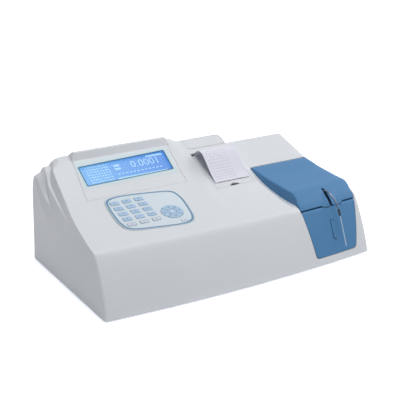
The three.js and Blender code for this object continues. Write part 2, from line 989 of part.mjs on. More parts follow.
function roundedRectangle(x, y, sizeX, sizeY, corner, steps) {
  const points = [];
  const halfX = sizeX / 2 - corner;
  const halfY = sizeY / 2 - corner;
  const centres = [[1, 1], [-1, 1], [-1, -1], [1, -1]];
  centres.forEach(([signX, signY], quarter) => {
    for (let i = 0; i <= steps; i += 1) {
      const angle = (quarter + i / steps) * Math.PI / 2;
      points.push([x + signX * halfX + corner * Math.cos(angle), y + signY * halfY + corner * Math.sin(angle)]);
    }
  });
  return points;
}

// Blue front panel, cut out of the casing's own front
function panelOutline(inset) {
  const topLeft = atX(acrossShares.lidRecessFront) - panel.leftOver;
  const topRight = halfWidth - panel.rightInset;
  const left = topLeft + panel.leftLean + inset;
  const right = topRight - panel.rightLean - inset;
  const bottom = panel.bottom + inset;
  const corner = panel.corner;
  const points = [[topLeft + inset, panel.top], [left, bottom + corner]];
  for (let i = 1; i <= panel.cornerSteps; i += 1) {
    const angle = i / panel.cornerSteps * Math.PI / 2;
    points.push([left + corner * (1 - Math.cos(angle)), bottom + corner * (1 - Math.sin(angle))]);
  }
  for (let i = 1; i <= panel.cornerSteps; i += 1) {
    const angle = i / panel.cornerSteps * Math.PI / 2;
    points.push([right - corner * (1 - Math.sin(angle)), bottom + corner * (1 - Math.cos(angle))]);
  }
  points.push([topRight - inset, panel.top]);
  return points;
}

// Frames that lie on the keypad's slope and on the display's slope
const displayTilt = Math.atan(casing.displaySlope);

function slopeFrame(x, y, z, tilt) {
  return new THREE.Matrix4().makeTranslation(x, y, z).multiply(new THREE.Matrix4().makeRotationX(tilt));
}

// The bowed front stretches the deck forward, so its height at a place is looked up there.
function deckZAt(x, y, deckZ) {
  const bow = bowAt(x, -casing.bowFade);
  return deckZ(y < 0 ? y / (1 + bow / casing.bowFade) : y);
}

const keypadFrontY = keypad.centreY - keypad.halfDepth;
const keypadRearY = keypad.centreY + keypad.halfDepth;
const keypadFrontZ = deckZAt(places.keypad, keypadFrontY, humpZ);
const keypadRearZ = deckZAt(places.keypad, keypadRearY, humpZ);
const keypadTilt = Math.atan((keypadRearZ - keypadFrontZ) / (keypadRearY - keypadFrontY));
const keypadFrame = slopeFrame(places.keypad, keypad.centreY, (keypadFrontZ + keypadRearZ) / 2, keypadTilt);
const displayFrame = slopeFrame(places.display, display.centreY, humpZ(display.centreY), displayTilt);

function inFrame(geometry, frame) {
  return geometry.clone().applyMatrix4(frame);
}

// Keypad outline through its share points, moved inwards by an inset
function keypadOutline(inset) {
  const halfX = keypad.halfWidth - inset;
  const halfY = keypad.halfDepth - inset;
  const points = keypadOutlineShares.map(([x, y]) => new THREE.Vector3(x * halfX, y * halfY, 0));
  const curve = new THREE.CatmullRomCurve3(points, true);
  return curve.getPoints(keypadOutlineShares.length * 2).slice(0, -1).map((p) => [p.x, p.y]);
}

const keypadPocket = solid(inFrame(plate(keypadOutline(-gap), -keypad.pocket, overrun), keypadFrame));
const keypadOpening = solid(inFrame(plate(keypadOutline(keypad.rim), -overrun / 2, overrun), keypadFrame));

// Display plate opening and its brow
function displayOutline(inset) {
  return [
    [places.displayBottomLeft + inset, display.bottomY + inset],
    [places.displayBottomRight - inset, display.bottomY + inset],
    [places.displayTopRight - inset, display.topY - inset],
    [places.displayTopLeft + inset, display.topY - inset],
  ];
}

const humpFloor = casing.lowDeckZ;
const displayOpening = solid(plate(displayOutline(0), humpFloor, height + overrun));

function browSection(x, inward) {
  const baseZ = humpZ(brow.frontY) - wall;
  const topY = brow.frontY + brow.frontLean;
  const outline = [
    [brow.frontY - brow.frontLean * 2, baseZ],
    [brow.frontY - brow.frontLean, humpZ(brow.frontY) + gap],
    [topY, height - brow.edge],
    [topY + brow.frontLean, height],
    [brow.rearY - brow.rearRise, height],
    [brow.rearY, humpZ(brow.rearY) - wall],
  ];
  return outline.map(([y, z]) => {
    const share = (z - baseZ) / (height - baseZ);
    return new THREE.Vector3(x + inward * brow.topInset * share, y, z);
  });
}

const browLeft = places.displayTopLeft - brow.leftOver;
const browRight = places.displayTopRight + brow.rightOver;
const browEnds = [browSection(browLeft, 1), browSection(browRight, -1)];
const browBlock = solid(loft(browEnds, browEnds[0].length / 2));
const windowWidth = places.displayTopRight - places.displayTopLeft - display.windowMargin * 2;
const browSeat = casingGrown.subtract(solid(plate(displayOutline(gap), humpFloor, height + overrun)));
const displayHole = solid(inFrame(
  new THREE.BoxGeometry(windowWidth, display.windowDepth, overrun),
  displayFrame,
));
const plateSkin = shell.intersect(solid(plate(displayOutline(gap), humpFloor, height + overrun)));
const displayPlate = cut(plateSkin.add(browBlock.subtract(browSeat)), [displayHole]);

// Printer opening: the door's place with the slot behind it, and the hinge bosses beside it
const halfDoor = printer.doorWidth / 2;
const hingeZ = podiumZ(printer.hingeY) - printer.hingeDrop;
const printerOpening = solid(plate([
  [places.printer - halfDoor - gap, printer.doorFrontY - gap],
  [places.printer + halfDoor + gap, printer.doorFrontY - gap],
  [places.printer + halfDoor + gap, printer.slotRearY],
  [places.printer - halfDoor - gap, printer.slotRearY],
], humpFloor, height + overrun));

function coverPrism(grow) {
  const sizeX = printer.coverWidth + grow * 2;
  const sizeY = printer.coverRearY - printer.coverFrontY + grow;
  const middleY = (printer.coverRearY + printer.coverFrontY + grow) / 2;
  const corner = printer.coverCorner + grow;
  return solid(plate(
    roundedRectangle(places.printer + printer.coverOffset, middleY, sizeX, sizeY, corner, lid.cornerSteps),
    humpFloor, height + overrun,
  ));
}

function hingeBossBoxes(grow) {
  return [-1, 1].map((side) => block(
    places.printer + side * (halfDoor + gap + printer.bossWidth / 2), printer.hingeY, hingeZ,
    printer.bossWidth + grow * 2, printer.bossDepth + grow * 2, printer.bossHeight + grow * 2,
  ));
}

const hingePinHoles = rodX(
  places.printer - halfDoor - printer.pinReach - gap, places.printer + halfDoor + printer.pinReach + gap,
  printer.hingeY, hingeZ, printer.pinRadius + gap, lid.steps,
);

// Upper casing
const panelCut = solid(uprightPlate(panelOutline(0), -depth, panel.lipY));
const rearHalf = halfWidth - rear.sideInset;
const rearOpening = block(
  0, rearY, (rear.bottom + rear.top) / 2,
  rearHalf * 2, overrun, rear.top - rear.bottom,
);
const cellOpening = block(
  (places.wheelWall + places.lampWall) / 2, bench.beamY, casing.shelfZ,
  places.lampWall - places.wheelWall, cell.halfY * 2 + wall * 2, overrun / 2,
);
const pinHoleRight = halfWidth - casing.sideDraftShare * barrelZ - lid.pinSeat + gap;
const pinLeft = lidLeftX(lid.barrelY) - lid.pinSeat;
const pinHole = rodX(pinLeft - gap, pinHoleRight, lid.barrelY, barrelZ, lid.pinRadius + gap, lid.steps);
const barrelRoom = rodX(
  lidLeftX(lid.barrelY), barrelRight + gap * 2, lid.barrelY, barrelZ, lid.barrelRadius + gap * 2, lid.steps,
);
const hingeBosses = joined(hingeBossBoxes(0)).intersect(casingOuter);
addSolid('upper_casing', cut(shell.add(hingeBosses), [
  panelCut, rearOpening, cellOpening, pinHole, barrelRoom, displayOpening, keypadPocket, keypadOpening,
  printerOpening, coverPrism(0), hingePinHoles,
]), finishes.white);
addSolid('display_plate', displayPlate, finishes.white);

// Display window, module and board, on the display's slope
function framedBox(frame, x, y, sizeX, sizeY, fromZ, toZ) {
  const box = new THREE.BoxGeometry(sizeX, sizeY, toZ - fromZ).translate(x, y, (fromZ + toZ) / 2);
  return solid(inFrame(box, frame));
}

function framedPlate(frame, outline, fromZ, toZ) {
  return solid(inFrame(plate(outline, fromZ, toZ), frame));
}

const windowTop = -display.windowSunk;
const moduleTop = -wall - gap;
const moduleBottom = moduleTop - display.moduleThick;
addSolid('display_window', framedBox(
  displayFrame, 0, 0, windowWidth - gap * 2, display.windowDepth - gap * 2,
  windowTop - display.windowThick, windowTop,
), finishes.glass);
addSolid('lcd_module', framedBox(
  displayFrame, 0, 0, windowWidth + display.moduleOver * 2, display.windowDepth + display.moduleOver * 2,
  moduleBottom, moduleTop,
), finishes.screen);

// Keypad: the overlay, and the keys with their flanges below it
const overlayBottom = gap - keypad.pocket;
const flangeTop = overlayBottom - gap;
const keyBottom = flangeTop - key.flangeThick;

function addKey(name, outline, flangeOutline) {
  const top = framedPlate(keypadFrame, outline, keyBottom, key.proud);
  const flange = framedPlate(keypadFrame, flangeOutline, keyBottom, flangeTop);
  addSolid(name, top.add(flange), finishes.keyBlue);
}

function keyOutline(x, y, sizeX, sizeY, grow) {
  return roundedRectangle(x, y, sizeX + grow * 2, sizeY + grow * 2, key.corner + grow, key.cornerSteps);
}

const keyNames = ['7', '8', '9', '4', '5', '6', '1', '2', '3', '0', 'dot', 'clear'];
const keyPlaces = keyNames.map((name, i) => ({
  name: `key_${name}`,
  x: key.columnX + (i % key.columns) * key.columnPitch,
  y: key.rowY - Math.floor(i / key.columns) * key.rowPitch,
  width: key.width,
  depth: key.depth,
}));
for (let i = 0; i < key.columns; i += 1) {
  keyPlaces.push({
    name: `key_f${i + 1}`,
    x: key.columnX + i * key.columnPitch,
    y: key.functionY,
    width: key.width,
    depth: key.functionDepth,
  });
}
keyPlaces.push({
  name: 'key_small',
  x: key.smallX,
  y: key.smallY,
  width: key.smallWidth,
  depth: key.smallDepth,
});
keyPlaces.forEach((place) => {
  const size = [place.x, place.y, place.width, place.depth];
  addKey(place.name, keyOutline(...size, 0), keyOutline(...size, key.flangeOver));
});

// Round pad: four arrow keys around a middle key
function arrowOutline(turn, outer) {
  const half = Math.PI / 4;
  const points = [];
  const arc = (radius, sign) => {
    const cutAngle = Math.asin(pad.split / 2 / radius);
    for (let i = 0; i <= pad.steps; i += 1) {
      const share = i / pad.steps * 2 - 1;
      const angle = turn + sign * share * (half - cutAngle);
      points.push([pad.x + radius * Math.cos(angle), pad.y + radius * Math.sin(angle)]);
    }
  };
  arc(outer, 1);
  arc(pad.inner, -1);
  return points;
}

function circleOutline(x, y, radius, segments) {
  const points = [];
  for (let i = 0; i < segments; i += 1) {
    const angle = i / segments * Math.PI * 2;
    points.push([x + radius * Math.cos(angle), y + radius * Math.sin(angle)]);
  }
  return points;
}

['right', 'up', 'left', 'down'].forEach((name, i) => {
  const turn = i * Math.PI / 2;
  addKey(`key_${name}`, arrowOutline(turn, pad.outer), arrowOutline(turn, pad.outer + key.flangeOver));
});
const padSides = pad.steps * 4;
const middle = circleOutline(pad.x, pad.y, pad.inner - gap, padSides);
addKey('key_enter', middle, middle);

const keyHoles = keyPlaces.map((place) => framedPlate(
  keypadFrame, keyOutline(place.x, place.y, place.width, place.depth, key.clearance), -overrun, overrun,
));
keyHoles.push(framedPlate(
  keypadFrame, circleOutline(pad.x, pad.y, pad.outer + key.clearance, padSides), -overrun, overrun,
));
const overlayPlate = framedPlate(keypadFrame, keypadOutline(0), overlayBottom, keypad.proud);
addSolid('keypad_overlay', cut(overlayPlate, keyHoles), finishes.overlay);

// Printer door and cover, cut from the casing's own skin
function podiumPlate(left, right, front, back) {
  return solid(plate([[left, front], [right, front], [right, back], [left, back]], humpFloor, height + overrun));
}

const doorLeft = places.printer - halfDoor;
const doorRight = places.printer + halfDoor;
const doorNotch = rodZ(
  humpFloor, height,
  places.printer - printer.notchOffset, printer.doorFrontY + printer.notchDepth - printer.notchRadius,
  printer.notchRadius, lid.steps,
);
const doorSkin = shell.intersect(podiumPlate(doorLeft, doorRight, printer.doorFrontY, printer.doorRearY));
const doorEnds = [
  [doorLeft - printer.pinReach, doorLeft, printer.pinRadius],
  [doorLeft, doorLeft + printer.barrelLength, printer.barrelRadius],
  [doorRight - printer.barrelLength, doorRight, printer.barrelRadius],
  [doorRight, doorRight + printer.pinReach, printer.pinRadius],
].map(([from, to, radius]) => rodX(from, to, printer.hingeY, hingeZ, radius, lid.steps));
addSolid('printer_door', joined([doorSkin.subtract(doorNotch), ...doorEnds]), finishes.white);
addSolid('printer_cover', shell.intersect(coverPrism(-gap)), finishes.white);

// Printer frame: a bay under the door, with the roll, the platen roller and the print head in it
const bayLeft = doorLeft - gap - printer.bayWall;
const bayRight = doorRight + gap + printer.bayWall;
const bayFloorZ = printer.bayBottom + printer.bayWall;
function bayBox(inset, bottom) {
  return standingBlock(
    (bayLeft + bayRight) / 2, (printer.bayFrontY + printer.bayRearY) / 2, bottom,
    bayRight - bayLeft - inset * 2, printer.bayRearY - printer.bayFrontY - inset * 2, height,
  );
}

const rollerZ = podiumZ(printer.rollerY) - printer.rollerDrop;
const shaftHole = rodX(
  bayLeft - gap, bayRight + gap, printer.rollerY, rollerZ, printer.shaftRadius + gap, lid.steps,
);
const bossRoom = joined(hingeBossBoxes(gap));
addSolid('printer_frame', cut(
  bayBox(0, printer.bayBottom).intersect(insideCasing),
  [bayBox(printer.bayWall, bayFloorZ), shaftHole, bossRoom],
), finishes.darkPlastic);

const rollZ = bayFloorZ + gap + printer.rollRadius;
const roll = rodX(
  places.printer - printer.rollWidth / 2, places.printer + printer.rollWidth / 2, printer.rollY, rollZ,
  printer.rollRadius, printer.rollSegments,
);
const rollBore = rodX(
  places.printer - printer.rollWidth, places.printer + printer.rollWidth, printer.rollY, rollZ,
  printer.rollBore, lid.steps,
);
addSolid('paper_roll', roll.subtract(rollBore), finishes.paper);
const rollerBody = rodX(
  places.printer - printer.rollerLength / 2, places.printer + printer.rollerLength / 2, printer.rollerY, rollerZ,
  printer.rollerRadius, lid.steps,
);
const rollerShaft = rodX(
  bayLeft + gap, bayRight - gap, printer.rollerY, rollerZ, printer.shaftRadius, lid.steps,
);
addSolid('platen_roller', rollerBody.add(rollerShaft), finishes.rubber);
const headRearY = printer.bayRearY - printer.bayWall - gap;
addSolid('print_head', standingBlock(
  places.printer, headRearY - printer.headDepth / 2, rollerZ - printer.headHeight / 2,
  printer.headWidth, printer.headDepth, printer.headHeight,
), finishes.darkPlastic);

// Printed strip: its side profile is a band along a smooth line
const stripCurve = new THREE.SplineCurve(paperLine.map(([y, z]) => new THREE.Vector2(y, z)));
const stripPoints = stripCurve.getSpacedPoints(paper.steps);
const stripSide = (sign) => stripPoints.map((p, i) => {
  const tangent = stripCurve.getTangentAt(i / paper.steps);
  return [p.x - sign * tangent.y * paper.thick / 2, p.y + sign * tangent.x * paper.thick / 2];
});
const stripOutline = [...stripSide(1), ...stripSide(-1).reverse()];
addSolid('paper_strip', solid(sidePlate(
  stripOutline, places.printer - paper.width / 2, places.printer + paper.width / 2,
)), finishes.paper);

// Sample lid: a shell between an outer and an inner loft, with the hinge barrel and the slit
function lidSkirtZ(x) {
  const turns = [scoopLeft - lid.scoopRun, scoopLeft, scoopRight, scoopRight + lid.scoopRun];
  return along(turns, [lid.skirtZ, lid.scoopZ, lid.scoopZ, lid.skirtZ], x);
}

const lidStationXs = [
  scoopLeft - lid.scoopRun, scoopLeft, places.slit, scoopRight, scoopRight + lid.scoopRun,
];

function lidRightX(y, z, inset) {
  return sideX(z) - lid.rightInset - (lid.rightInsetFront - lid.rightInset) * flare(y) - inset;
}

function lidSections(inset, rightGive, rearEnd) {
  const outline = lidYs.map((y, i) => [y, lidZs[i]]);
  const moved = insetProfile(outline, inset, lidZs[0]);
  moved[moved.length - 1] = [moved[moved.length - 1][0], lidZs[lidZs.length - 1] - inset];
  const rearTop = moved[moved.length - 1];
  const closing = inset === 0
    ? [[lid.barrelY - lid.barrelRadius, barrelZ - lid.barrelRadius], [lid.rearY, lid.skirtZ]]
    : [[rearEnd, rearTop[1]], [rearEnd, 0]];
  const section = (xAt, low) => {
    const points = [...moved, ...closing].map(([y, z]) => [y, z]);
    points[0] = inset === 0 ? [faceYAt(low), low] : [faceYAt(low) + inset, 0];
    return points.map(([y, z]) => {
      const x = xAt(y, z);
      return new THREE.Vector3(x, y - bowAt(x, y), z);
    });
  };
  return [
    section((y) => lidLeftX(y) + lid.sideGap + inset, lid.skirtZ),
    ...lidStationXs.map((x) => section(() => x, lidSkirtZ(x))),
    section((y, z) => lidRightX(y, z, rightGive), lid.skirtZ),
  ];
}

// Place of the front face at a height, on the lid's own front
function faceYAt(z) {
  return along(lidZs, lidYs, z);
}

const middleShare = 0.5;
const lidHighPoint = lidYShares.findIndex((share) => share > middleShare);
const lidOuter = solid(loft(lidSections(0, 0, lid.rearY), lidHighPoint));
const rightGive = across.wallInset + across.stepRun + gap + lid.thick - lid.rightInset;
const lidInner = solid(loft(lidSections(lid.thick, rightGive, rearY), lidHighPoint));
const slit = block(
  places.slit, lid.slitTopY - depth / 2, barrelZ, lid.slitHalf * 2, depth, height,
);
const barrelLeft = lidLeftX(lid.barrelY) + lid.sideGap;
const barrel = rodX(barrelLeft, barrelRight, lid.barrelY, barrelZ, lid.barrelRadius, lid.steps);
const barrelBore = rodX(
  barrelLeft - wall, barrelRight + wall, lid.barrelY, barrelZ, lid.pinRadius + gap, lid.steps,
);
const overhangRoom = rodX(
  wallFaceX - gap, halfWidth, lid.barrelY, barrelZ, lid.overhangRadius, lid.steps,
);
const lidBody = cut(lidOuter, [lidInner, casingGrown, slit, overhangRoom]);
addSolid('sample_lid', lidBody.add(barrel).subtract(barrelBore), finishes.blue);
addSolid('lid_hinge_pin', rodX(
  pinLeft, pinHoleRight - gap, lid.barrelY, barrelZ, lid.pinRadius, lid.steps,
), finishes.steel);

// Front panel with the hole for the start paddle, on the face's own slope
const faceTurn = Math.PI / 2 - paddle.tilt * degree;
const paddleFaceY = along(facePoints.map((p) => p.y), facePoints.map((p) => p.x), paddle.z);
const paddleFrame = slopeFrame(
  places.slit - paddle.offset, paddleFaceY - bowAt(places.slit - paddle.offset, paddleFaceY), paddle.z, faceTurn,
);

function ovalOutline(sizeX, sizeY, grow) {
  return roundedRectangle(0, 0, sizeX + grow * 2, sizeY + grow * 2, sizeX / 2 + grow, paddle.steps);
}

const paddleStem = framedPlate(
  paddleFrame, ovalOutline(paddle.width, paddle.length, 0), -paddle.deep, paddle.proud,
);
const flangeFace = -wall - gap - paddle.curveRoom;
const paddleFlange = framedPlate(
  paddleFrame, ovalOutline(paddle.flangeWidth, paddle.flangeLength, 0),
  flangeFace - paddle.flangeThick, flangeFace,
);
const paddleHole = framedPlate(
  paddleFrame, ovalOutline(paddle.width, paddle.length, gap), -overrun, overrun,
);
const scoopCut = solid(uprightPlate([
  [scoopLeft - lid.scoopRun * 2, lid.skirtZ + lid.scoopRun],
  [scoopLeft - gap, lid.scoopZ - gap],
  [scoopRight + gap, lid.scoopZ - gap],
  [scoopRight + lid.scoopRun * 2, lid.skirtZ + lid.scoopRun],
], -depth, panel.lipY - wall * 2));
addSolid('front_panel', cut(
  shell.intersect(solid(uprightPlate(panelOutline(gap), -depth, panel.lipY - gap))),
  [paddleHole, scoopCut],
), finishes.blue);
addSolid('aspirate_paddle', paddleStem.add(paddleFlange), finishes.blue);

// Sampling tube, sleeve and needle: round sections swept along hand-placed lines
function swept(line, radius, sides, steps) {
  const curve = new THREE.CatmullRomCurve3(line.map((p) => new THREE.Vector3(...p)));
  const shape = new THREE.Shape(circleOutline(0, 0, radius, sides).map(([x, y]) => new THREE.Vector2(x, y)));
  return solid(new THREE.ExtrudeGeometry(shape, { extrudePath: curve, steps, bevelEnabled: false }));
}

const sleeveEnd = sleeveLine[sleeveLine.length - 1];
const needleStart = new THREE.Vector3(...sleeveEnd).lerp(new THREE.Vector3(...needleTip), sipper.needleGapShare);
addSolid('sipper_tube', swept(tubeLine, sipper.radius, sipper.sides, sipper.steps), finishes.amber);
addSolid('sipper_sleeve', swept(
  sleeveLine, sipper.sleeveRadius, sipper.sides, sipper.sleeveSteps,
), finishes.darkPlastic);
addSolid('sipper_needle', swept(
  [needleStart.toArray(), needleTip], sipper.needleRadius, sipper.sides, 1,
), finishes.steel);

// Base tray and feet
const trayBottom = casing.bottom + tray.lift;
const floorZ = trayBottom + tray.thick + gap;
const footPlaces = [
  [foot.insetX - halfWidth, foot.frontY],
  [halfWidth - foot.insetX, foot.frontY],
  [foot.insetX - halfWidth, rearY - foot.insetY],
  [halfWidth - foot.insetX, rearY - foot.insetY],
];
const stemHoles = footPlaces.map(([x, y]) => rodZ(0, floorZ, x, y, foot.stem + gap, foot.segments));
const traySlab = standingBlock(0, 0, trayBottom, width, depth - tray.rearInset * 2, tray.thick);
const vents = [];
for (let i = 0; i < tray.vents; i += 1) {
  const x = benchMiddle + (i - (tray.vents - 1) / 2) * tray.ventPitch;
  vents.push(block(x, tray.ventY, trayBottom, tray.ventWidth, tray.ventLength, tray.thick * 4));
}
addSolid('base_tray', cut(traySlab.intersect(insideCasing), [...stemHoles, ...vents]), finishes.darkPlastic);
footPlaces.forEach(([x, y], i) => {
  const sole = rodZ(0, trayBottom - gap, x, y, foot.radius, foot.segments);
  const stem = rodZ(0, floorZ - gap, x, y, foot.stem, foot.segments);
  addSolid(`foot_${i + 1}`, sole.add(stem), finishes.rubber);
});

// Rear panel, set inside the casing's rear wall, with what is mounted on it
const panelFaceY = rearY - wall - gap;
const panelBackY = panelFaceY - rear.thick;
const rearPlate = block(
  0, (panelFaceY + panelBackY) / 2, (rear.bottom + rear.top) / 2,
  (rearHalf + rear.overlap) * 2, rear.thick, rear.top - rear.bottom + rear.overlap * 2,
);

function rearHole(x, z, sizeX, sizeZ) {
  return block(x, panelFaceY, z, sizeX + gap * 2, overrun, sizeZ + gap * 2);
}

const screwZ = rear.top - rear.screwInset;
const screwHole = rodY(0, rearY, 0, screwZ, screw.shank + gap, screw.segments);
const ventSlots = [];
for (let i = 0; i < vent.slots; i += 1) {
  const offset = (i - (vent.slots - 1) / 2) * vent.slotPitch;
  const length = 2 * Math.sqrt(vent.radius * vent.radius - offset * offset);
  ventSlots.push(block(places.vent + offset, panelFaceY, vent.z, vent.slotWidth, overrun, length));
}
addSolid('rear_panel', cut(rearPlate, [
  rearHole(places.inlet, inlet.z, inlet.width, inlet.height),
  rearHole(places.rocker, rocker.z, rocker.bodyWidth, rocker.bodyHeight),
  screwHole,
  ...ventSlots,
]), finishes.aluminium);
const headFrom = panelFaceY + gap;
const headEnd = headFrom + screw.headThick;
const screwHead = rodY(headFrom, headEnd, 0, screwZ, screw.head, screw.segments);
const screwSlot = block(0, headEnd, screwZ, screw.head * 2, screw.headThick, screw.slot);
const screwShank = rodY(headFrom - screw.length, headFrom + gap, 0, screwZ, screw.shank, screw.segments);
addSolid('panel_screw', screwHead.subtract(screwSlot).add(screwShank), finishes.steel);

// Power inlet: a flanged box with a mouth and three pins
const inletFace = panelFaceY + gap + inlet.flangeThick;
const inletBox = block(
  places.inlet, inletFace - inlet.deep / 2, inlet.z, inlet.width, inlet.deep, inlet.height,
);
const inletFlange = block(
  places.inlet, inletFace - inlet.flangeThick / 2, inlet.z,
  inlet.flangeWidth, inlet.flangeThick, inlet.flangeHeight,
);
const inletMouth = block(
  places.inlet, inletFace, inlet.z, inlet.mouthWidth, inlet.mouthDeep * 2, inlet.mouthHeight,
);
const inletFloor = inletFace - inlet.mouthDeep;
const pinOffsets = [[-1, -0.3], [0, 0.3], [1, -0.3]];
const inletPins = pinOffsets.map(([sideShare, upShare]) => block(
  places.inlet + sideShare * inlet.pinPitch, inletFloor + inlet.pinReach / 2, inlet.z + upShare * inlet.pinPitch,
  inlet.pinWidth, inlet.pinReach + gap, inlet.pinHeight,
));
addSolid('power_inlet', joined([
  inletBox.add(inletFlange).subtract(inletMouth), ...inletPins,
]), finishes.darkPlastic);

// Power switch: a frame with a rocker that turns on an axis along X
const switchFace = panelFaceY + gap + rocker.frameThick;
const switchFrame = cut(block(
  places.rocker, switchFace - rocker.frameThick / 2, rocker.z,
  rocker.frameWidth, rocker.frameThick, rocker.frameHeight,
).add(block(
  places.rocker, switchFace - rocker.deep / 2, rocker.z, rocker.bodyWidth, rocker.deep, rocker.bodyHeight,
)), [block(
  places.rocker, switchFace, rocker.z, rocker.width + gap * 2, rocker.wellDeep * 2, rocker.height + gap * 2,
)]);
addSolid('power_switch', switchFrame, finishes.darkPlastic);
const rockerCorners = [
  [-rocker.footIn, -rocker.footHalf],
  [rocker.edgeIn, -rocker.edgeHalf],
  [rocker.edgeOut, -rocker.edgeHalf],
  [rocker.dishOut, 0],
  [rocker.edgeOut, rocker.edgeHalf],
  [rocker.edgeIn, rocker.edgeHalf],
  [-rocker.footIn, rocker.footHalf],
];
const rockerTurn = -rocker.tilt * degree;
const rockerOutline = rockerCorners.map(([out, up]) => [
  switchFace - rocker.pivotDeep + out * Math.cos(rockerTurn) - up * Math.sin(rockerTurn),
  rocker.z + out * Math.sin(rockerTurn) + up * Math.cos(rockerTurn),
]);
addSolid('rocker_button', solid(sidePlate(
  rockerOutline, places.rocker - rocker.width / 2, places.rocker + rocker.width / 2,
)), finishes.rubber);

// Main board on four legs, with chips, a relay and a connector
const boardZ = floorZ + board.legHeight;
const legXs = [-1, 1].map((side) => places.board + side * (board.width / 2 - board.legInset));
const legYs = [-1, 1].map((side) => board.y + side * (board.depth / 2 - board.legInset));
const legAt = (x, y) => rodZ(floorZ, boardZ + gap, x, y, board.leg, rear.rodSegments);
const legs = legXs.flatMap((x) => legYs.map((y) => legAt(x, y)));
const boardPartsZ = boardZ + board.thick - gap;
const chipShares = [[-0.3, 0.2], [-0.05, 0.2], [0.2, 0.2], [-0.3, -0.2], [0.1, -0.2]];
const chips = chipShares.map(([acrossShare, alongShare]) => standingBlock(
  places.board + acrossShare * board.width, board.y + alongShare * board.depth, boardPartsZ,
  board.chip, board.chip, board.chipThick,
));
const relay = standingBlock(
  places.board + board.width * 0.35, board.y - board.depth * 0.25, boardPartsZ,
  board.chip * 1.5, board.chip, board.relayHeight,
);
const boardConnector = standingBlock(
  places.board, board.y + board.depth / 2 - board.connectorHeight, boardPartsZ,
  board.connectorWidth, board.connectorHeight, board.connectorHeight,
);
addSolid('main_board', joined([
  standingBlock(places.board, board.y, boardZ, board.width, board.depth, board.thick),
  ...legs, ...chips, relay, boardConnector,
]), finishes.board);

// Power supply with cooling slots in its top
const supplySlots = [];
for (let i = 0; i < supply.vents; i += 1) {
  const x = places.supply + (i - (supply.vents - 1) / 2) * supply.ventPitch;
  supplySlots.push(block(
    x, supply.y, floorZ + supply.height, supply.vent, supply.depth / 2, supply.ventDeep * 2,
  ));
}
addSolid('power_supply', cut(
  standingBlock(places.supply, supply.y, floorZ, supply.width, supply.depth, supply.height), supplySlots,
), finishes.aluminium);

// Optical bench: a base with three walls, each with its bore for the beam or the shaft
const benchTop = floorZ + bench.thick;
const wheelZ = bench.beamZ - wheel.filterTrack;

function benchWall(x) {
  return standingBlock(
    x, bench.beamY, benchTop - gap, bench.wallThick, bench.wallHalf * 2, bench.wallTop - benchTop + gap,
  );
}

const benchBase = standingBlock(
  benchMiddle, (bench.frontY + bench.rearY) / 2, floorZ,
  benchRight - benchLeft, bench.rearY - bench.frontY, bench.thick,
);
const beam = rodX(
  places.wheelWall - overrun / 2, halfWidth, bench.beamY, bench.beamZ, bench.beamRadius, lid.steps,
);
const shaftBore = rodX(
  places.motorWall - overrun, places.motorWall + overrun / 4, bench.beamY, wheelZ, motor.boss + gap, lid.steps,
);
addSolid('optical_bench', cut(joined([
  benchBase, benchWall(places.motorWall), benchWall(places.wheelWall), benchWall(places.lampWall),
]), [beam, shaftBore]), finishes.aluminium);

// Flow cell: it stands on the bench and through the shelf, with the tube's port on its front
const cellBottom = benchTop + gap;
const cellFront = bench.beamY - cell.halfY;
const cellBody = standingBlock(
  places.cell, bench.beamY, cellBottom, cell.width, cell.halfY * 2, cell.top - cellBottom,
);
const tubeStart = tubeLine[0];
const cellPort = rodY(
  tubeStart[1] + gap, cellFront + gap, tubeStart[0], tubeStart[2], cell.portRadius, lid.steps,
);
const cellBeam = rodX(places.wheelWall, places.lampWall, bench.beamY, bench.beamZ, cell.hole, lid.steps);
const cellCap = rodZ(cell.top - gap, cell.top + cell.capHeight, places.cell, bench.beamY, cell.cap, lid.steps);
addSolid('flow_cell', joined([cellBody, cellPort, cellCap]).subtract(cellBeam), finishes.darkPlastic);

// Lamp in its housing on the right side of the bench
const lampFace = places.lampWall + bench.wallThick / 2 + gap;
const housing = standingBlock(
  lampFace + lampHousing.width / 2, bench.beamY, lampHousing.bottom,
  lampHousing.width, lampHousing.half * 2, lampHousing.top - lampHousing.bottom,
);
const housingBore = rodX(
  lampFace - gap, lampFace + lampHousing.boreDeep, bench.beamY, bench.beamZ, lampHousing.bore, lid.steps,
);
const coolingCuts = [];
for (let i = 0; i < lampHousing.fins; i += 1) {
  const y = bench.beamY + (i - (lampHousing.fins - 1) / 2) * lampHousing.finWidth * 2;
  coolingCuts.push(block(
    lampFace + lampHousing.width / 2, y, lampHousing.top, lampHousing.width * 2, lampHousing.finWidth,
    lampHousing.finDeep * 2,
  ));
}
addSolid('lamp_housing', cut(housing, [housingBore, ...coolingCuts]), finishes.aluminium);

// Filter wheel, its motor and the detector
const motorFace = places.motorWall - bench.wallThick / 2 - gap;
const motorBody = block(
  motorFace - motor.length / 2, bench.beamY, wheelZ, motor.length, motor.size, motor.size,
);
const motorBoss = rodX(
  motorFace - gap, motorFace + motor.bossLength, bench.beamY, wheelZ, motor.boss, lid.steps,
);
addSolid('filter_motor', motorBody.add(motorBoss), finishes.steel);
const wheelX = places.wheelWall - wheel.fromWall;
const wheelLeft = wheelX - wheel.thick / 2;
const wheelDisc = rodX(
  wheelLeft, wheelLeft + wheel.thick, bench.beamY, wheelZ, wheel.radius, wheel.segments,
);
const wheelHub = rodX(
  wheelLeft - wheel.hubLength, wheelLeft + wheel.thick, bench.beamY, wheelZ, wheel.hub, lid.steps,
);
const wheelShaft = rodX(
  motorFace + motor.bossLength + gap, wheelX, bench.beamY, wheelZ, wheel.shaft, lid.steps,
);
const filterHoles = [];
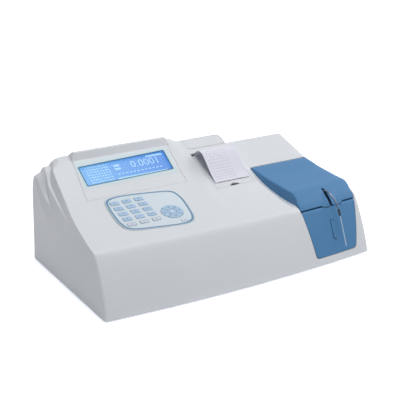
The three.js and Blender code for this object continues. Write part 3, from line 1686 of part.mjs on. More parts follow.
for (let i = 0; i < wheel.filters; i += 1) {
  const angle = Math.PI / 2 + i / wheel.filters * Math.PI * 2;
  filterHoles.push(rodX(
    wheelLeft - gap, wheelLeft + wheel.thick + gap,
    bench.beamY + wheel.filterTrack * Math.cos(angle), wheelZ + wheel.filterTrack * Math.sin(angle),
    wheel.filterRadius, rear.rodSegments,
  ));
}
addSolid('filter_wheel', cut(joined([wheelDisc, wheelHub, wheelShaft]), filterHoles), finishes.aluminium);
const detectorFrom = places.motorWall + bench.wallThick / 2 + gap;
const detectorTo = wheelLeft - detector.wheelRoom;
addSolid('detector', block(
  (detectorFrom + detectorTo) / 2, bench.beamY, bench.beamZ,
  detectorTo - detectorFrom, detector.half * 2, detector.half * 2,
), finishes.darkPlastic);

// Pump: a body with an open cavity and its rotor
const pumpFront = pump.y - pump.deep / 2;
const pumpRear = pump.y + pump.deep / 2;
const cavityFloor = pumpRear - pump.cavityDeep;
const pumpBody = standingBlock(
  places.pump, pump.y, floorZ, pump.half * 2, pump.deep, pump.z + pump.half - floorZ,
);
const pumpCavity = rodY(cavityFloor, pumpRear + gap, places.pump, pump.z, pump.cavity, pump.segments);
const pumpShaftHole = rodY(0, pumpRear, places.pump, pump.z, pump.shaft + gap, lid.steps);
addSolid('pump_body', cut(pumpBody, [pumpCavity, pumpShaftHole]), finishes.darkPlastic);
const rotorFrom = cavityFloor + gap;
const rotorParts = [
  rodY(rotorFrom, rotorFrom + pump.rotorLength, places.pump, pump.z, pump.rotorCore, pump.segments),
  rodY(pumpFront, rotorFrom + gap, places.pump, pump.z, pump.shaft, lid.steps),
];
for (let i = 0; i < pump.rollers; i += 1) {
  const angle = i / pump.rollers * Math.PI * 2;
  rotorParts.push(rodY(
    rotorFrom, rotorFrom + pump.rotorLength,
    places.pump + pump.rollerTrack * Math.cos(angle), pump.z + pump.rollerTrack * Math.sin(angle),
    pump.rollerRadius, rear.rodSegments,
  ));
}
addSolid('pump_rotor', joined(rotorParts), finishes.steel);

export default analyzer;
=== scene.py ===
"""Looks of a benchtop chemistry analyzer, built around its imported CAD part. Metres, Z up.

The surfaces are worked out in millimetres from the sizes of the CAD part, with finer steps and
rounded edges, and are turned to metres when a mesh is made.
"""

import json
import math
from types import SimpleNamespace as Sizes

import bmesh
import bpy
import numpy as np
from mathutils import Matrix, Vector

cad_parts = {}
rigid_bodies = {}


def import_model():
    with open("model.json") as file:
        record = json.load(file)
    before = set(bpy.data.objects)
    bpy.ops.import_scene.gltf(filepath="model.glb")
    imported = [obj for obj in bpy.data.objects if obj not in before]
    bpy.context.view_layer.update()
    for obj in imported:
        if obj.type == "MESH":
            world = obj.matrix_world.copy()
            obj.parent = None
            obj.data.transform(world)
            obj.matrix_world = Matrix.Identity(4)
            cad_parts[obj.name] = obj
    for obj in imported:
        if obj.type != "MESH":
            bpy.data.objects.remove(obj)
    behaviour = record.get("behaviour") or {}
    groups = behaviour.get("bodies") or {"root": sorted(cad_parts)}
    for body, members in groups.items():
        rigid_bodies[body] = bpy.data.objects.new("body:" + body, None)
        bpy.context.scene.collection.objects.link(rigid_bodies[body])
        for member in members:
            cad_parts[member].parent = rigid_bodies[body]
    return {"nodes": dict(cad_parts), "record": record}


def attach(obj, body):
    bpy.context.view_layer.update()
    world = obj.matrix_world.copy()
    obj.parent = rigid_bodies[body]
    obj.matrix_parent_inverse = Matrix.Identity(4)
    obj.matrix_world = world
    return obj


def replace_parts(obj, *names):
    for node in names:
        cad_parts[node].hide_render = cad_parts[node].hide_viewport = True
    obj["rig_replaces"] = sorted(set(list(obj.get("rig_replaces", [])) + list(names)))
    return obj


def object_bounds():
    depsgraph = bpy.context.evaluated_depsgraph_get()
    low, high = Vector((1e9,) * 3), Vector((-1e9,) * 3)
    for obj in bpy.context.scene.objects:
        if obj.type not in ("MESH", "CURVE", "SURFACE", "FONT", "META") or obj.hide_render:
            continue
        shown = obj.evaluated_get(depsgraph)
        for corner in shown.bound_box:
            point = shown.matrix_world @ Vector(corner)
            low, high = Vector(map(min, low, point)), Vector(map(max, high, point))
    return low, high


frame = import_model()
cad_low, cad_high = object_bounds()

MM = 0.001
GAP = 0.3
SEAM = 0.8
OVERRUN = 40.0
FAR = 300.0
TINY = 0.001
INK = 0.06
MITRE_LIMIT = 0.3

# Casing, in millimetres
HALF_WIDTH = 210.0
HALF_DEPTH = 118.0
HEIGHT = cad_high[2] / MM
FRONT_BOW = 10.2
FRONT_Y = FRONT_BOW - HALF_DEPTH
WALL = 2.5
casing = Sizes(
    bottom=1.8, draft_share=0.035, face_bend=(-96.9, 41.7), face_top=(-79.0, 71.6), face_lean=0.6,
    bow_fade=60.0, deck_start=-66.0, crease_z=81.0, keypad_slope=0.265, display_slope=0.58,
    bend_y=38.3, bend_reach=12.0, crest_y=103.0, crest_reach=7.0, rear_top=109.0, rear_fall=15.0,
    podium_y=3.0, podium_z=97.0, podium_slope=0.427, podium_front_slope=0.235, podium_reach=10.0,
    low_deck_z=79.4, low_deck_y=-50.0, low_deck_bend=35.0, low_deck_slope=0.42,
    hinge_deck_y=44.8, hinge_deck_z=102.0, rear_deck_slope=0.325, low_rear_fall=5.0,
    shelf_z=74.0, shelf_end=40.0, right_corner=5.0, left_corner=4.0,
    flank_round=0.3, shoulder_round=0.8, right_round=1.2,
)
across = Sizes(
    hump_end=0.0, podium_start=20.0, podium_end=87.0, low_deck_start=103.0,
    lid_recess=104.9, lid_recess_front=101.1, flare_start=-50.0, flare_end=-72.0,
    wall_inset=2.6, wall_inset_front=4.4, step_run=0.3,
)

# Left flank: lines along the depth, as falls below the hump and as places inwards from the side.
# From the side plane a wall leans up to the deck's edge, and two ledges that start as points part it.
FLANK_YS = [-66, -54, -30, -6, 10, 17, 25, 34, 44, 54, 66, 68, 76, 84, 90, 96, 104, 118]
FLANK_LINES = [
    (
        [6, 8, 13, 23, 31, 33, 34, 35, 38, 42, 46, 46, 46, 44, 40, 35, 29, 29],
        [0, 0, 0, 0, 0, 0, 0, 0, 0, 0, 0, 0, 0, 0, 0, 0, 0, 0],
    ), (
        [5, 6.7, 10.8, 19.2, 26, 27, 28, 28.5, 30.5, 32, 33, 32.7, 33.2, 33.6, 31.5, 28, 20.5, 20.5],
        [0.15, 0.25, 0.55, 0.95, 1.3, 2, 2.2, 2.6, 3.2, 4.2, 4.8, 4.95, 4.6, 4, 2.8, 1.8, 1, 1],
    ), (
        [3.8, 5, 8.1, 14.4, 20, 20.5, 21.5, 22.5, 25, 28, 32, 32.4, 32.9, 32.8, 26, 21, 16.7, 16.7],
        [0.35, 0.56, 1.25, 2.15, 2.9, 4.2, 4.6, 5.2, 5.6, 5.6, 5.2, 5.05, 6.6, 8.2, 8.8, 9.1, 9.4, 9.4],
    ), (
        [2.4, 3.2, 5.2, 9.2, 11.2, 12.3, 13.3, 14.1, 14.95, 16.1, 17.2, 17.4, 18, 18.5, 16.5, 13.5,
         10.6, 10.6],
        [0.54, 0.9, 2, 3.4, 5.2, 6.8, 7.7, 8.5, 8.9, 9.1, 9.1, 9.1, 9.2, 9.4, 10.5, 11.8, 13, 13],
    ), (
        [1.2, 1.6, 2.6, 4.6, 9.5, 12.1, 13.2, 14, 14.8, 15.9, 17, 17.2, 17.8, 18.2, 14.6, 12,
         10.1, 10.1],
        [0.72, 1.2, 2.6, 4.55, 5.9, 7, 8.4, 9.9, 11, 11.8, 12.4, 12.5, 12.9, 13.5, 15, 17.6, 21.5, 21.5],
    ), (
        [0, 0, 0, 0, 0, 0, 0, 0, 0, 0, 0, 0, 0, 0, 1.5, 5, 9.6, 9.6],
        [0.9, 1.5, 3.3, 5.7, 8, 9.4, 11, 12.6, 13.8, 14.7, 15.4, 15.6, 16.3, 17.2, 18.6, 20.5, 22.2,
         22.2],
    ),
]
FLANK_REACH = 18.5

# Sections inwards from the deck's edge, as pairs of the share of the way and the share of its fall
SHOULDER_SHARES = [(0.06, 0.8), (0.17, 0.5), (0.5, 0.15), (1.0, 0.0)]
HUMP_X_SHARES = [-0.58, -0.38, -0.2]
SHELF_X_SHARES = [0.6, 0.68, 0.76, 0.86]
WALL_MIDDLE_SHARE = 0.62
GROWN_WALL_SHARES = [(1.0, 0.0), (0.5, 0.12), (0.22, 0.4), (0.0, 1.0)]

# Lines of the lid and of the right wall, as shares of their way and rise
LID_Y_SHARES = [0, 0.031, 0.066, 0.117, 0.1625, 0.2055, 0.2605, 0.357, 0.51, 0.7455, 0.9085, 1]
LID_Z_SHARES = [0, 0.165, 0.32, 0.48, 0.61, 0.675, 0.725, 0.735, 0.78, 0.86, 0.96, 1]
WALL_Y_SHARES = [0, 0.108, 0.217, 0.434, 0.623, 0.8215, 0.93, 0.9385, 1]
WALL_Z_SHARES = [0.358, 0.504, 0.54, 0.555, 0.605, 0.69, 0.745, 0.985, 1]

# Places of the casing's sections along the depth, and how finely its bends are cut
fine = Sizes(
    face=16, crease=9, rear_shares=[i / 6 for i in range(7)],
    deck=[-62 + 4 * i for i in range(24)] + [32, 34, 36, 37, 38, 40, 41, 42, 43, 44, 44.8, 46, 48, 50.5]
    + [54 + 4 * i for i in range(11)] + [96, 98, 100, 102, 104, 106, 108],
)
coarse = Sizes(
    face=6, crease=3, rear_shares=[0.5, 0.8, 1.0],
    deck=[-54, -42, -30, -18, -6, 3, 14, 25, 33, 37, 38, 39.9, 44.84, 54, 66, 78, 90, 97, 101.5, 108],
)


def smooth_step(share):
    share = min(1.0, max(0.0, share))
    return share * share * (3 - 2 * share)


def spread(shares, start, end):
    return [start + share * (end - start) for share in shares]


def quarter(steps):
    """Runs and rises of a quarter circle that starts level, as shares of its radius."""
    angles = [i / steps * math.pi / 2 for i in range(steps + 1)]
    return [(math.sin(angle), 1 - math.cos(angle)) for angle in angles]


def curve_points(start, bend, end, steps):
    """Points, or whole rings, along a quadratic curve."""
    a, b, c = (np.array(place, float) for place in (start, bend, end))
    shares = [i / steps for i in range(steps + 1)]
    return [(1 - t) ** 2 * a + 2 * t * (1 - t) * b + t * t * c for t in shares]


def spline_point(a, b, c, d, t):
    """A point between b and c on a smooth line through all four (Catmull-Rom)."""
    return (
        b * 2 + (c - a) * t + (a * 2 - b * 5 + c * 4 - d) * t ** 2 + (b * 3 - a - c * 3 + d) * t ** 3
    ) / 2


def monotone(xs, ys):
    """A smooth line through points that never swings past them."""
    xs, ys = np.array(xs, float), np.array(ys, float)
    runs = np.diff(xs)
    slopes = np.diff(ys) / runs
    turns = np.zeros(len(xs))
    turns[0], turns[-1] = slopes[0], slopes[-1]
    for i in range(1, len(xs) - 1):
        if slopes[i - 1] * slopes[i] > 0:
            before, after = 2 * runs[i] + runs[i - 1], runs[i] + 2 * runs[i - 1]
            turns[i] = (before + after) / (before / slopes[i - 1] + after / slopes[i])

    def value(x):
        x = min(max(x, xs[0]), xs[-1])
        i = min(int(np.searchsorted(xs, x, side="right")) - 1, len(runs) - 1)
        t = (x - xs[i]) / runs[i]
        return float(
            ys[i] * (1 + 2 * t) * (1 - t) ** 2 + runs[i] * turns[i] * t * (1 - t) ** 2
            + ys[i + 1] * t * t * (3 - 2 * t) + runs[i] * turns[i + 1] * t * t * (t - 1)
        )

    return value


# Heights of the decks
def soft_bend(y, bend_y, bend_z, before, after, reach):
    """Two slopes joined by a parabola that reaches the same way to both sides."""
    away = y - bend_y
    if abs(away) > reach:
        return bend_z + (before if away < 0 else after) * away
    turn = (after - before) / (4 * reach)
    return bend_z + (before + after) / 2 * away + turn * (away * away + reach * reach)


def deck_line(*bend):
    """A deck with a soft bend, which levels out at the casing's crest."""
    slope = bend[3]
    crest_z = soft_bend(casing.crest_y, *bend)

    def deck_z(y):
        if y < casing.crest_y - casing.crest_reach:
            return soft_bend(y, *bend)
        return soft_bend(y, casing.crest_y, crest_z, slope, 0.0, casing.crest_reach)

    return deck_z


hump_z = deck_line(
    casing.bend_y, casing.crease_z + casing.keypad_slope * (casing.bend_y - casing.deck_start),
    casing.keypad_slope, casing.display_slope, casing.bend_reach,
)
podium_z = deck_line(
    casing.podium_y, casing.podium_z, casing.podium_front_slope, casing.podium_slope,
    casing.podium_reach,
)


def risen(y, start, start_z):
    """A height on the way from a start up to the deck at the lid's hinge."""
    share = (y - start) / (casing.hinge_deck_y - start)
    return start_z + share * (casing.hinge_deck_z - start_z)


def low_deck_z(y):
    if y >= casing.hinge_deck_y:
        return casing.hinge_deck_z + casing.rear_deck_slope * (y - casing.hinge_deck_y)
    reach = casing.low_deck_bend - casing.low_deck_y
    run = max(0.0, min(y - casing.low_deck_y, reach))
    bent_z = casing.low_deck_z + casing.low_deck_slope * run * run / 2 / reach
    return bent_z if y <= casing.low_deck_bend else risen(y, casing.low_deck_bend, bent_z)


def shelf_z(y):
    if y >= casing.hinge_deck_y:
        return low_deck_z(y)
    return casing.shelf_z if y <= casing.shelf_end else risen(y, casing.shelf_end, casing.shelf_z)


wall_top = monotone(
    spread(WALL_Y_SHARES, casing.deck_start, casing.hinge_deck_y),
    spread(WALL_Z_SHARES, casing.face_top[1], casing.hinge_deck_z),
)


def right_wall_z(y):
    return wall_top(y) if y < casing.hinge_deck_y else low_deck_z(y)


# Places across the casing
def bow(x, y):
    """How far the front stands forward at x, fading out over the deck."""
    share = x / HALF_WIDTH
    return FRONT_BOW * (1 - share * share) * min(1.0, max(0.0, -y / casing.bow_fade))


def bowed(points, x_at, back=0.0):
    """A ring from a side profile: X from a rule, and the front bowed forward."""
    ring = []
    for y, z in points:
        x = x_at(y, z)
        ring.append((x, y - bow(x, y) + (back if y < 0 else 0.0), z))
    return np.array(ring)


def side_x(z):
    return HALF_WIDTH - casing.draft_share * z


def flared(y, rear, front):
    """A size that changes over the flare of the lid's front."""
    share = smooth_step((across.flare_start - y) / (across.flare_start - across.flare_end))
    return rear + (front - rear) * share


def lid_left_x(y):
    return flared(y, across.lid_recess, across.lid_recess_front)


def wall_inset(y):
    return flared(y, across.wall_inset, across.wall_inset_front)


# Side profiles
def profile(deck_z, rear_fall, steps):
    """Side profile from the front's lower edge over the deck to the rear's lower edge."""
    face = curve_points((FRONT_Y, 0.0), casing.face_bend, casing.face_top, steps.face)
    points = [(y, max(z, casing.bottom)) for y, z in face[:-1]]
    start_z = deck_z(casing.deck_start)
    corner_z = start_z - casing.face_lean
    corner_y = casing.face_top[0] + casing.face_lean * (corner_z - casing.face_top[1])
    points += curve_points(
        casing.face_top, (corner_y, corner_z), (casing.deck_start, start_z), steps.crease,
    )
    points += [(y, deck_z(y)) for y in steps.deck]
    top = deck_z(casing.rear_top)
    for share in steps.rear_shares:
        angle = share * math.pi / 2
        run = (HALF_DEPTH - casing.rear_top) * math.sin(angle)
        points.append((casing.rear_top + run, top - rear_fall * (1 - math.cos(angle))))
    points.append((HALF_DEPTH, casing.bottom))
    return points


def hinge_index(steps):
    return steps.face + steps.crease + 1 + next(
        i for i, y in enumerate(steps.deck) if y >= casing.hinge_deck_y
    )


def inset_line(points, distance, low=None):
    """Moves a side profile inwards, and its two ends to a low level."""
    moved = []
    for i, (y, z) in enumerate(points):
        before = points[max(0, i - 1)]
        after = points[min(len(points) - 1, i + 1)]
        run = math.dist(before, after)
        moved.append((
            y + (after[1] - before[1]) / run * distance, z - (after[0] - before[0]) / run * distance,
        ))
    if low is not None:
        moved[0] = (moved[0][0], low)
        moved[-1] = (moved[-1][0], low)
    return moved


# Sections of the casing from left to right
def station(deck_z, x, fall=casing.rear_fall, inner=0, back=0.0, faces_lid=False):
    """One section of the casing: its deck height, its place along X and how its inner face moves."""
    return Sizes(deck_z=deck_z, x=x, fall=fall, inner=inner, back=back, faces_lid=faces_lid)


def outer_ring(section, grow=0.0, rounded_by=0.0, shift=0.0):
    points = profile(section.deck_z, section.fall, fine)
    if grow or rounded_by:
        points = inset_line(points, rounded_by - grow, casing.bottom)
    moved = shift - (grow if section.faces_lid else 0.0)
    return bowed(points, lambda y, z: section.x(y, z) + moved, section.back)


def inner_rings(distance):
    sections = flank_stations + shoulder_stations + middle_stations
    sections.append(station(shelf_z, lambda y, z: side_x(z), casing.low_rear_fall, inner=-1))
    rings = []
    for section in sections:
        points = inset_line(profile(section.deck_z, section.fall, coarse), distance, -OVERRUN)
        rings.append(bowed(points, lambda y, z: section.x(y, z) + section.inner * distance))
    return rings


def flank_station(falls, places):
    fall, place_x = monotone(FLANK_YS, falls), monotone(FLANK_YS, places)
    return station(lambda y: hump_z(y) - fall(y), lambda y, z: place_x(y) - side_x(z), inner=1)


def shoulder_station(run_share, left_share):
    fall, place_x = (monotone(FLANK_YS, line) for line in FLANK_LINES[-1])
    return station(
        lambda y: hump_z(y) - left_share * fall(y),
        lambda y, z: place_x(y) - side_x(z) + run_share * FLANK_REACH, inner=1,
    )


def flat_station(x, deck_z, fall=casing.rear_fall):
    return station(deck_z, lambda y, z: x, fall)


def mixed_stations(from_x, to_x, from_z, to_z, to_fall=casing.rear_fall, steps=8):
    """Sections over which one deck turns smoothly into the next."""
    made = []
    for i in range(steps + 1):
        part = smooth_step(i / steps)
        made.append(flat_station(
            from_x + i / steps * (to_x - from_x),
            lambda y, part=part: from_z(y) + part * (to_z(y) - from_z(y)),
            casing.rear_fall + part * (to_fall - casing.rear_fall),
        ))
    return made


def wall_station(inset_share, back_share=0.0):
    return station(
        right_wall_z, lambda y, z: side_x(z) - inset_share * wall_inset(y), casing.low_rear_fall,
        back=back_share * casing.right_corner, faces_lid=inset_share == 1.0,
    )


WALL_FACE_X = side_x(casing.hinge_deck_z) - across.wall_inset - across.step_run
flank_stations = [flank_station(*line) for line in FLANK_LINES]
shoulder_stations = [shoulder_station(*shares) for shares in SHOULDER_SHARES]
middle_stations = [
    *[flat_station(share * HALF_WIDTH, hump_z) for share in HUMP_X_SHARES],
    *mixed_stations(across.hump_end, across.podium_start, hump_z, podium_z),
    *mixed_stations(
        across.podium_end, across.low_deck_start - WALL, podium_z, low_deck_z, casing.low_rear_fall,
    ),
    station(low_deck_z, lambda y, z: lid_left_x(y) - across.step_run, casing.low_rear_fall, inner=-1),
    station(shelf_z, lambda y, z: lid_left_x(y), casing.low_rear_fall, inner=-1),
    *[flat_station(share * HALF_WIDTH, shelf_z, casing.low_rear_fall) for share in SHELF_X_SHARES],
]
shelf_end_station = station(
    shelf_z, lambda y, z: side_x(max(z, casing.hinge_deck_z)) - wall_inset(y) - across.step_run,
    casing.low_rear_fall, faces_lid=True,
)


def rounded_rings(rings, radius, steps=3):
    """Puts a small curve in place of each inner ring, so that its edge gets a radius."""
    made = [rings[0]]
    for before, corner, after in zip(rings, rings[1:], rings[2:]):
        ends = []
        for way in (before - corner, after - corner):
            length = np.maximum(np.linalg.norm(way, axis=1, keepdims=True), radius / 100)
            ends.append(corner + way / length * np.minimum(radius, length * 0.45))
        made += curve_points(ends[0], corner, ends[1], steps)
    made.append(rings[-1])
    return made


def set_back_corner(ring, side, radius):
    """Rounds the upright edge between the front face and a side."""
    for point in ring:
        x, y, z = point
        away = side_x(z) - side * x
        if away < radius and y < casing.deck_start:
            fade = smooth_step((casing.deck_start - y) / radius)
            point[1] += fade * (radius - math.sqrt(radius ** 2 - (radius - max(away, 0.0)) ** 2))


def casing_rings():
    flank = [outer_ring(s) for s in flank_stations + shoulder_stations[:1]]
    shoulder = [outer_ring(s) for s in shoulder_stations + middle_stations[:1]]
    rings = rounded_rings(flank, casing.flank_round)[:-1]
    rings += rounded_rings(shoulder, casing.shoulder_round)
    rings += [outer_ring(s) for s in middle_stations[1:] + [shelf_end_station]]
    rings += [outer_ring(wall_station(share)) for share in (1.0, WALL_MIDDLE_SHARE)]
    for run, rise in reversed(quarter(3)):
        radius = casing.right_round
        rings.append(outer_ring(wall_station(0.0), rounded_by=radius * (1 - run), shift=-radius * rise))
    for ring in rings:
        set_back_corner(ring, -1, casing.left_corner)
        set_back_corner(ring, 1, casing.right_corner)
    return rings


def grown_rings():
    """The casing with a gap around it, which lid and plate leave free."""
    sections = flank_stations + shoulder_stations + middle_stations + [shelf_end_station]
    sections += [wall_station(*shares) for shares in GROWN_WALL_SHARES]
    return [outer_ring(s, grow=GAP) for s in sections]


# Solids, made in millimetres and turned to metres in their meshes
def solid(points, faces):
    mesh = bpy.data.meshes.new("solid")
    mesh.from_pydata([tuple(float(c) * MM for c in p) for p in points], [], faces)
    bm = bmesh.new()
    bm.from_mesh(mesh)
    bmesh.ops.remove_doubles(bm, verts=bm.verts, dist=TINY / 2 * MM)
    bmesh.ops.recalc_face_normals(bm, faces=bm.faces)
    bm.to_mesh(mesh)
    bm.free()
    return mesh


def bands(count, rows, closed=False):
    """Faces between rows of points that have as many points each."""
    faces = []
    for row in range(rows if closed else rows - 1):
        near, far = row * count, (row + 1) % rows * count
        for i in range(count):
            j = (i + 1) % count
            faces.append((near + i, near + j, far + j, far + i))
    return faces


def loft(rings, high=None):
    """Skins a row of rings that have as many points each. A fan closes each end, from the ring's
    middle or from half way down under its high point."""
    count = len(rings[0])
    points = [tuple(p) for ring in rings for p in ring]
    faces = bands(count, len(rings))
    for ring, base in ((rings[0], 0), (rings[-1], (len(rings) - 1) * count)):
        if high is None:
            middle = np.mean(ring, axis=0)
        else:
            first, last, top = ring[0], ring[-1], ring[high]
            foot = first + (last - first) * (top[1] - first[1]) / (last[1] - first[1])
            middle = (top + foot) / 2
        points.append(tuple(middle))
        faces += [(len(points) - 1, base + i, base + (i + 1) % count) for i in range(count)]
    return solid(points, faces)


def framed(outline, level, matrix):
    """Points of an outline at a level of a frame."""
    return [tuple(matrix @ Vector((x, y, level))) for x, y in outline]


def prism(outline, low, high, matrix=Matrix.Identity(4), rounding=0.0):
    """A plate with an outline in its frame's XY plane. Its upper edge can be rounded."""
    levels = [(low, 0.0), (high, 0.0)]
    if rounding:
        levels[1:] = [(high - rounding * (1 - run), rounding * rise) for run, rise in quarter(4)]
    count = len(outline)
    points = []
    for level, inset in levels:
        points += framed(inset_outline(outline, inset), level, matrix)
    ends = [tuple(range(count))[::-1], tuple(range(len(points) - count, len(points)))]
    return solid(points, ends + bands(count, len(levels)))


def ring_between(outer, inner, low, high, matrix):
    """A flat ring between two outlines that have as many points each."""
    points = []
    for outline, level in ((outer, low), (outer, high), (inner, high), (inner, low)):
        points += framed(outline, level, matrix)
    return solid(points, bands(len(outer), 4, closed=True))


def inset_outline(outline, distance):
    """Moves an outline that runs against the clock inwards."""
    if not distance:
        return list(outline)
    count = len(outline)
    moved = []
    for i in range(count):
        before, here, after = outline[i - 1], outline[i], outline[(i + 1) % count]
        normals = []
        for a, b in ((before, here), (here, after)):
            run = math.dist(a, b)
            normals.append((-(b[1] - a[1]) / run, (b[0] - a[0]) / run))
        (ax, ay), (bx, by) = normals
        scale = distance / max(MITRE_LIMIT, 1 + ax * bx + ay * by)
        moved.append((here[0] + (ax + bx) * scale, here[1] + (ay + by) * scale))
    return moved


def slope_frame(x, y, z, tilt):
    return Matrix.Translation((x, y, z)) @ Matrix.Rotation(tilt, 4, "X")


def upright_prism(outline, front, back):
    """A plate whose outline lies in the world's XZ plane."""
    return prism(outline, 0.0, back - front, slope_frame(0, back, 0, math.pi / 2))


def rectangle(left, right, front, back):
    return [(left, front), (right, front), (right, back), (left, back)]


def block(x, y, z, size_x, size_y, size_z, matrix=Matrix.Identity(4)):
    outline = rectangle(x - size_x / 2, x + size_x / 2, y - size_y / 2, y + size_y / 2)
    return prism(outline, z - size_z / 2, z + size_z / 2, matrix)


def circle(x, y, radius, segments=64):
    angles = [i / segments * math.tau for i in range(segments)]
    return [(x + radius * math.cos(angle), y + radius * math.sin(angle)) for angle in angles]


def rod_x(start, end, y, z, radius):
    turned = Matrix.Translation((start, y, z)) @ Matrix.Rotation(math.pi / 2, 4, "Y")
    return prism(circle(0, 0, radius, 48), 0.0, end - start, turned)


def rounded_rectangle(x, y, size_x, size_y, corner, steps=8):
    points = []
    for turn, (sign_x, sign_y) in enumerate([(1, 1), (-1, 1), (-1, -1), (1, -1)]):
        for i in range(steps + 1):
            angle = (turn + i / steps) * math.pi / 2
            points.append((
                x + sign_x * (size_x / 2 - corner) + corner * math.cos(angle),
                y + sign_y * (size_y / 2 - corner) + corner * math.sin(angle),
            ))
    return [p for i, p in enumerate(points) if math.dist(p, points[i - 1]) > TINY]


def rounded_corners(corners, inset, radius):
    """An outline through corners against the clock, each with a small curve in its place."""
    places = inset_outline(corners, inset)
    outline = []
    for i, place in enumerate(places):
        corner = Vector(place)
        ends = []
        for other in (places[i - 1], places[(i + 1) % len(places)]):
            ends.append(corner + (Vector(other) - corner).normalized() * radius)
        outline += curve_points(ends[0], corner, ends[1], 8)
    return outline


def smooth_line(route, steps):
    """Points at even steps of a smooth line through a route."""
    points = [Vector(p) for p in route]
    points = [points[0] * 2 - points[1], *points, points[-1] * 2 - points[-2]]
    line = []
    for i in range(steps + 1):
        place = i / steps * (len(points) - 3)
        k = min(int(place), len(points) - 4)
        line.append(spline_point(*points[k:k + 4], place - k))
    return line


def swept(route, radius, steps=80, end_share=1.0):
    """A round rod along a route, with its end as a share of its first radius."""
    line = smooth_line(route, steps)
    rings = []
    side = Vector((1, 0, 0))
    for i, here in enumerate(line):
        along = (line[min(steps, i + 1)] - line[max(0, i - 1)]).normalized()
        side = (side - along * side.dot(along)).normalized()
        up = along.cross(side)
        size = radius * (1.0 - (1.0 - end_share) * (i / steps) ** 2)
        rings.append(np.array([here + side * x + up * y for x, y in circle(0, 0, size, 20)]))
    return loft(rings)


def linked(name, data):
    obj = bpy.data.objects.new(name, data)
    bpy.context.scene.collection.objects.link(obj)
    return obj


def evaluated(holder):
    """The mesh that an object shows, in place of the object."""
    seen = holder.evaluated_get(bpy.context.evaluated_depsgraph_get())
    made = bpy.data.meshes.new_from_object(seen)
    bpy.data.objects.remove(holder)
    return made


def combined(operation, base, tools):
    """Joins, cuts or intersects closed meshes."""
    holder = linked("base", base)
    objects = [linked("tool", mesh) for mesh in tools]
    for obj in objects:
        change = holder.modifiers.new("change", "BOOLEAN")
        change.operation = operation
        change.object = obj
        change.solver = "MANIFOLD"
    made = evaluated(holder)
    for obj in objects:
        bpy.data.objects.remove(obj)
    return made


def with_added(base, *tools):
    return combined("UNION", base, tools)


def without(base, *tools):
    return combined("DIFFERENCE", base, tools)


def within(base, tool):
    return combined("INTERSECT", base, [tool])


# Materials
BEVEL_SAMPLES = 6
GRAIN_DEPTH = 0.05
CLOUD_SCALE = 9.0
CLOUDING = 0.03
LIT_START = -140.0
LIT_END = -30.0
materials = {}


def new_material(name):
    material = materials[name] = bpy.data.materials.new(name)
    material.use_nodes = True
    return material, material.node_tree, material.node_tree.nodes["Principled BSDF"]


def fill(tree, node, inputs):
    """Sets the inputs of a node. A value that is another node's output is linked."""
    for name, value in inputs.items():
        if isinstance(value, bpy.types.NodeSocket):
            tree.links.new(value, node.inputs[name])
        else:
            node.inputs[name].default_value = value


def made_by(tree, kind, output, inputs, **settings):
    """Adds a shader node and gives back one of its outputs."""
    node = tree.nodes.new(f"ShaderNode{kind}")
    for name, value in settings.items():
        setattr(node, name, value)
    fill(tree, node, inputs)
    return node.outputs[output]


def grain(tree, place, scale, strength, edge, depth=GRAIN_DEPTH):
    """Fine moulded or brushed grain, over edges whose shading is rounded."""
    noise = made_by(tree, "TexNoise", "Fac", {"Vector": place, "Scale": scale, "Detail": 3.0})
    softened = made_by(tree, "Bevel", "Normal", {"Radius": edge * MM}, samples=BEVEL_SAMPLES)
    return made_by(tree, "Bump", "Normal", {
        "Strength": strength, "Distance": depth * MM, "Height": noise, "Normal": softened,
    })


def plastic(name, colour, roughness, edge=0.5, scale=2600.0, strength=0.12, specular=0.5):
    """Moulded plastic: an even colour with faint clouding, fine grain and softened edges."""
    material, tree, shader = new_material(name)
    place = made_by(tree, "TexCoord", "Object", {})
    cloud = made_by(tree, "TexNoise", "Fac", {"Vector": place, "Scale": CLOUD_SCALE, "Detail": 2.0})
    fill(tree, shader, {
        "Base Color": made_by(tree, "Mix", "Result", {
            "Factor": cloud, "A": (*[c * (1.0 - CLOUDING) for c in colour], 1.0), "B": (*colour, 1.0),
        }, data_type="RGBA"),
        "Roughness": made_by(tree, "MapRange", "Result", {
            "Value": cloud, "To Min": roughness - CLOUDING, "To Max": roughness + CLOUDING,
        }),
        "Specular IOR Level": specular,
        "Normal": grain(tree, place, scale, strength, edge),
    })
    return material


def metal(name, colour, roughness, stretch=(1.0, 1.0, 1.0)):
    """Metal with a brushed grain along one direction."""
    material, tree, shader = new_material(name)
    place = made_by(tree, "Mapping", "Vector", {
        "Vector": made_by(tree, "TexCoord", "Object", {}), "Scale": stretch,
    })
    fill(tree, shader, {
        "Base Color": (*colour, 1.0), "Metallic": 1.0, "Roughness": roughness,
        "Normal": grain(tree, place, scale=900.0, strength=0.2, edge=0.3, depth=0.03),
    })
    return material


def clear(name, colour, roughness, alpha):
    """Clear sheet: mostly see-through with a glossy surface."""
    material, tree, shader = new_material(name)
    waves = made_by(tree, "TexNoise", "Fac", {
        "Vector": made_by(tree, "TexCoord", "Object", {}), "Scale": 300.0, "Detail": 3.0,
    })
    fill(tree, shader, {
        "Base Color": (*colour, 1.0), "Roughness": roughness, "Alpha": alpha,
        "Normal": made_by(tree, "Bump", "Normal", {
            "Strength": 0.05, "Distance": 0.02 * MM, "Height": waves,
        }),
    })
    return material


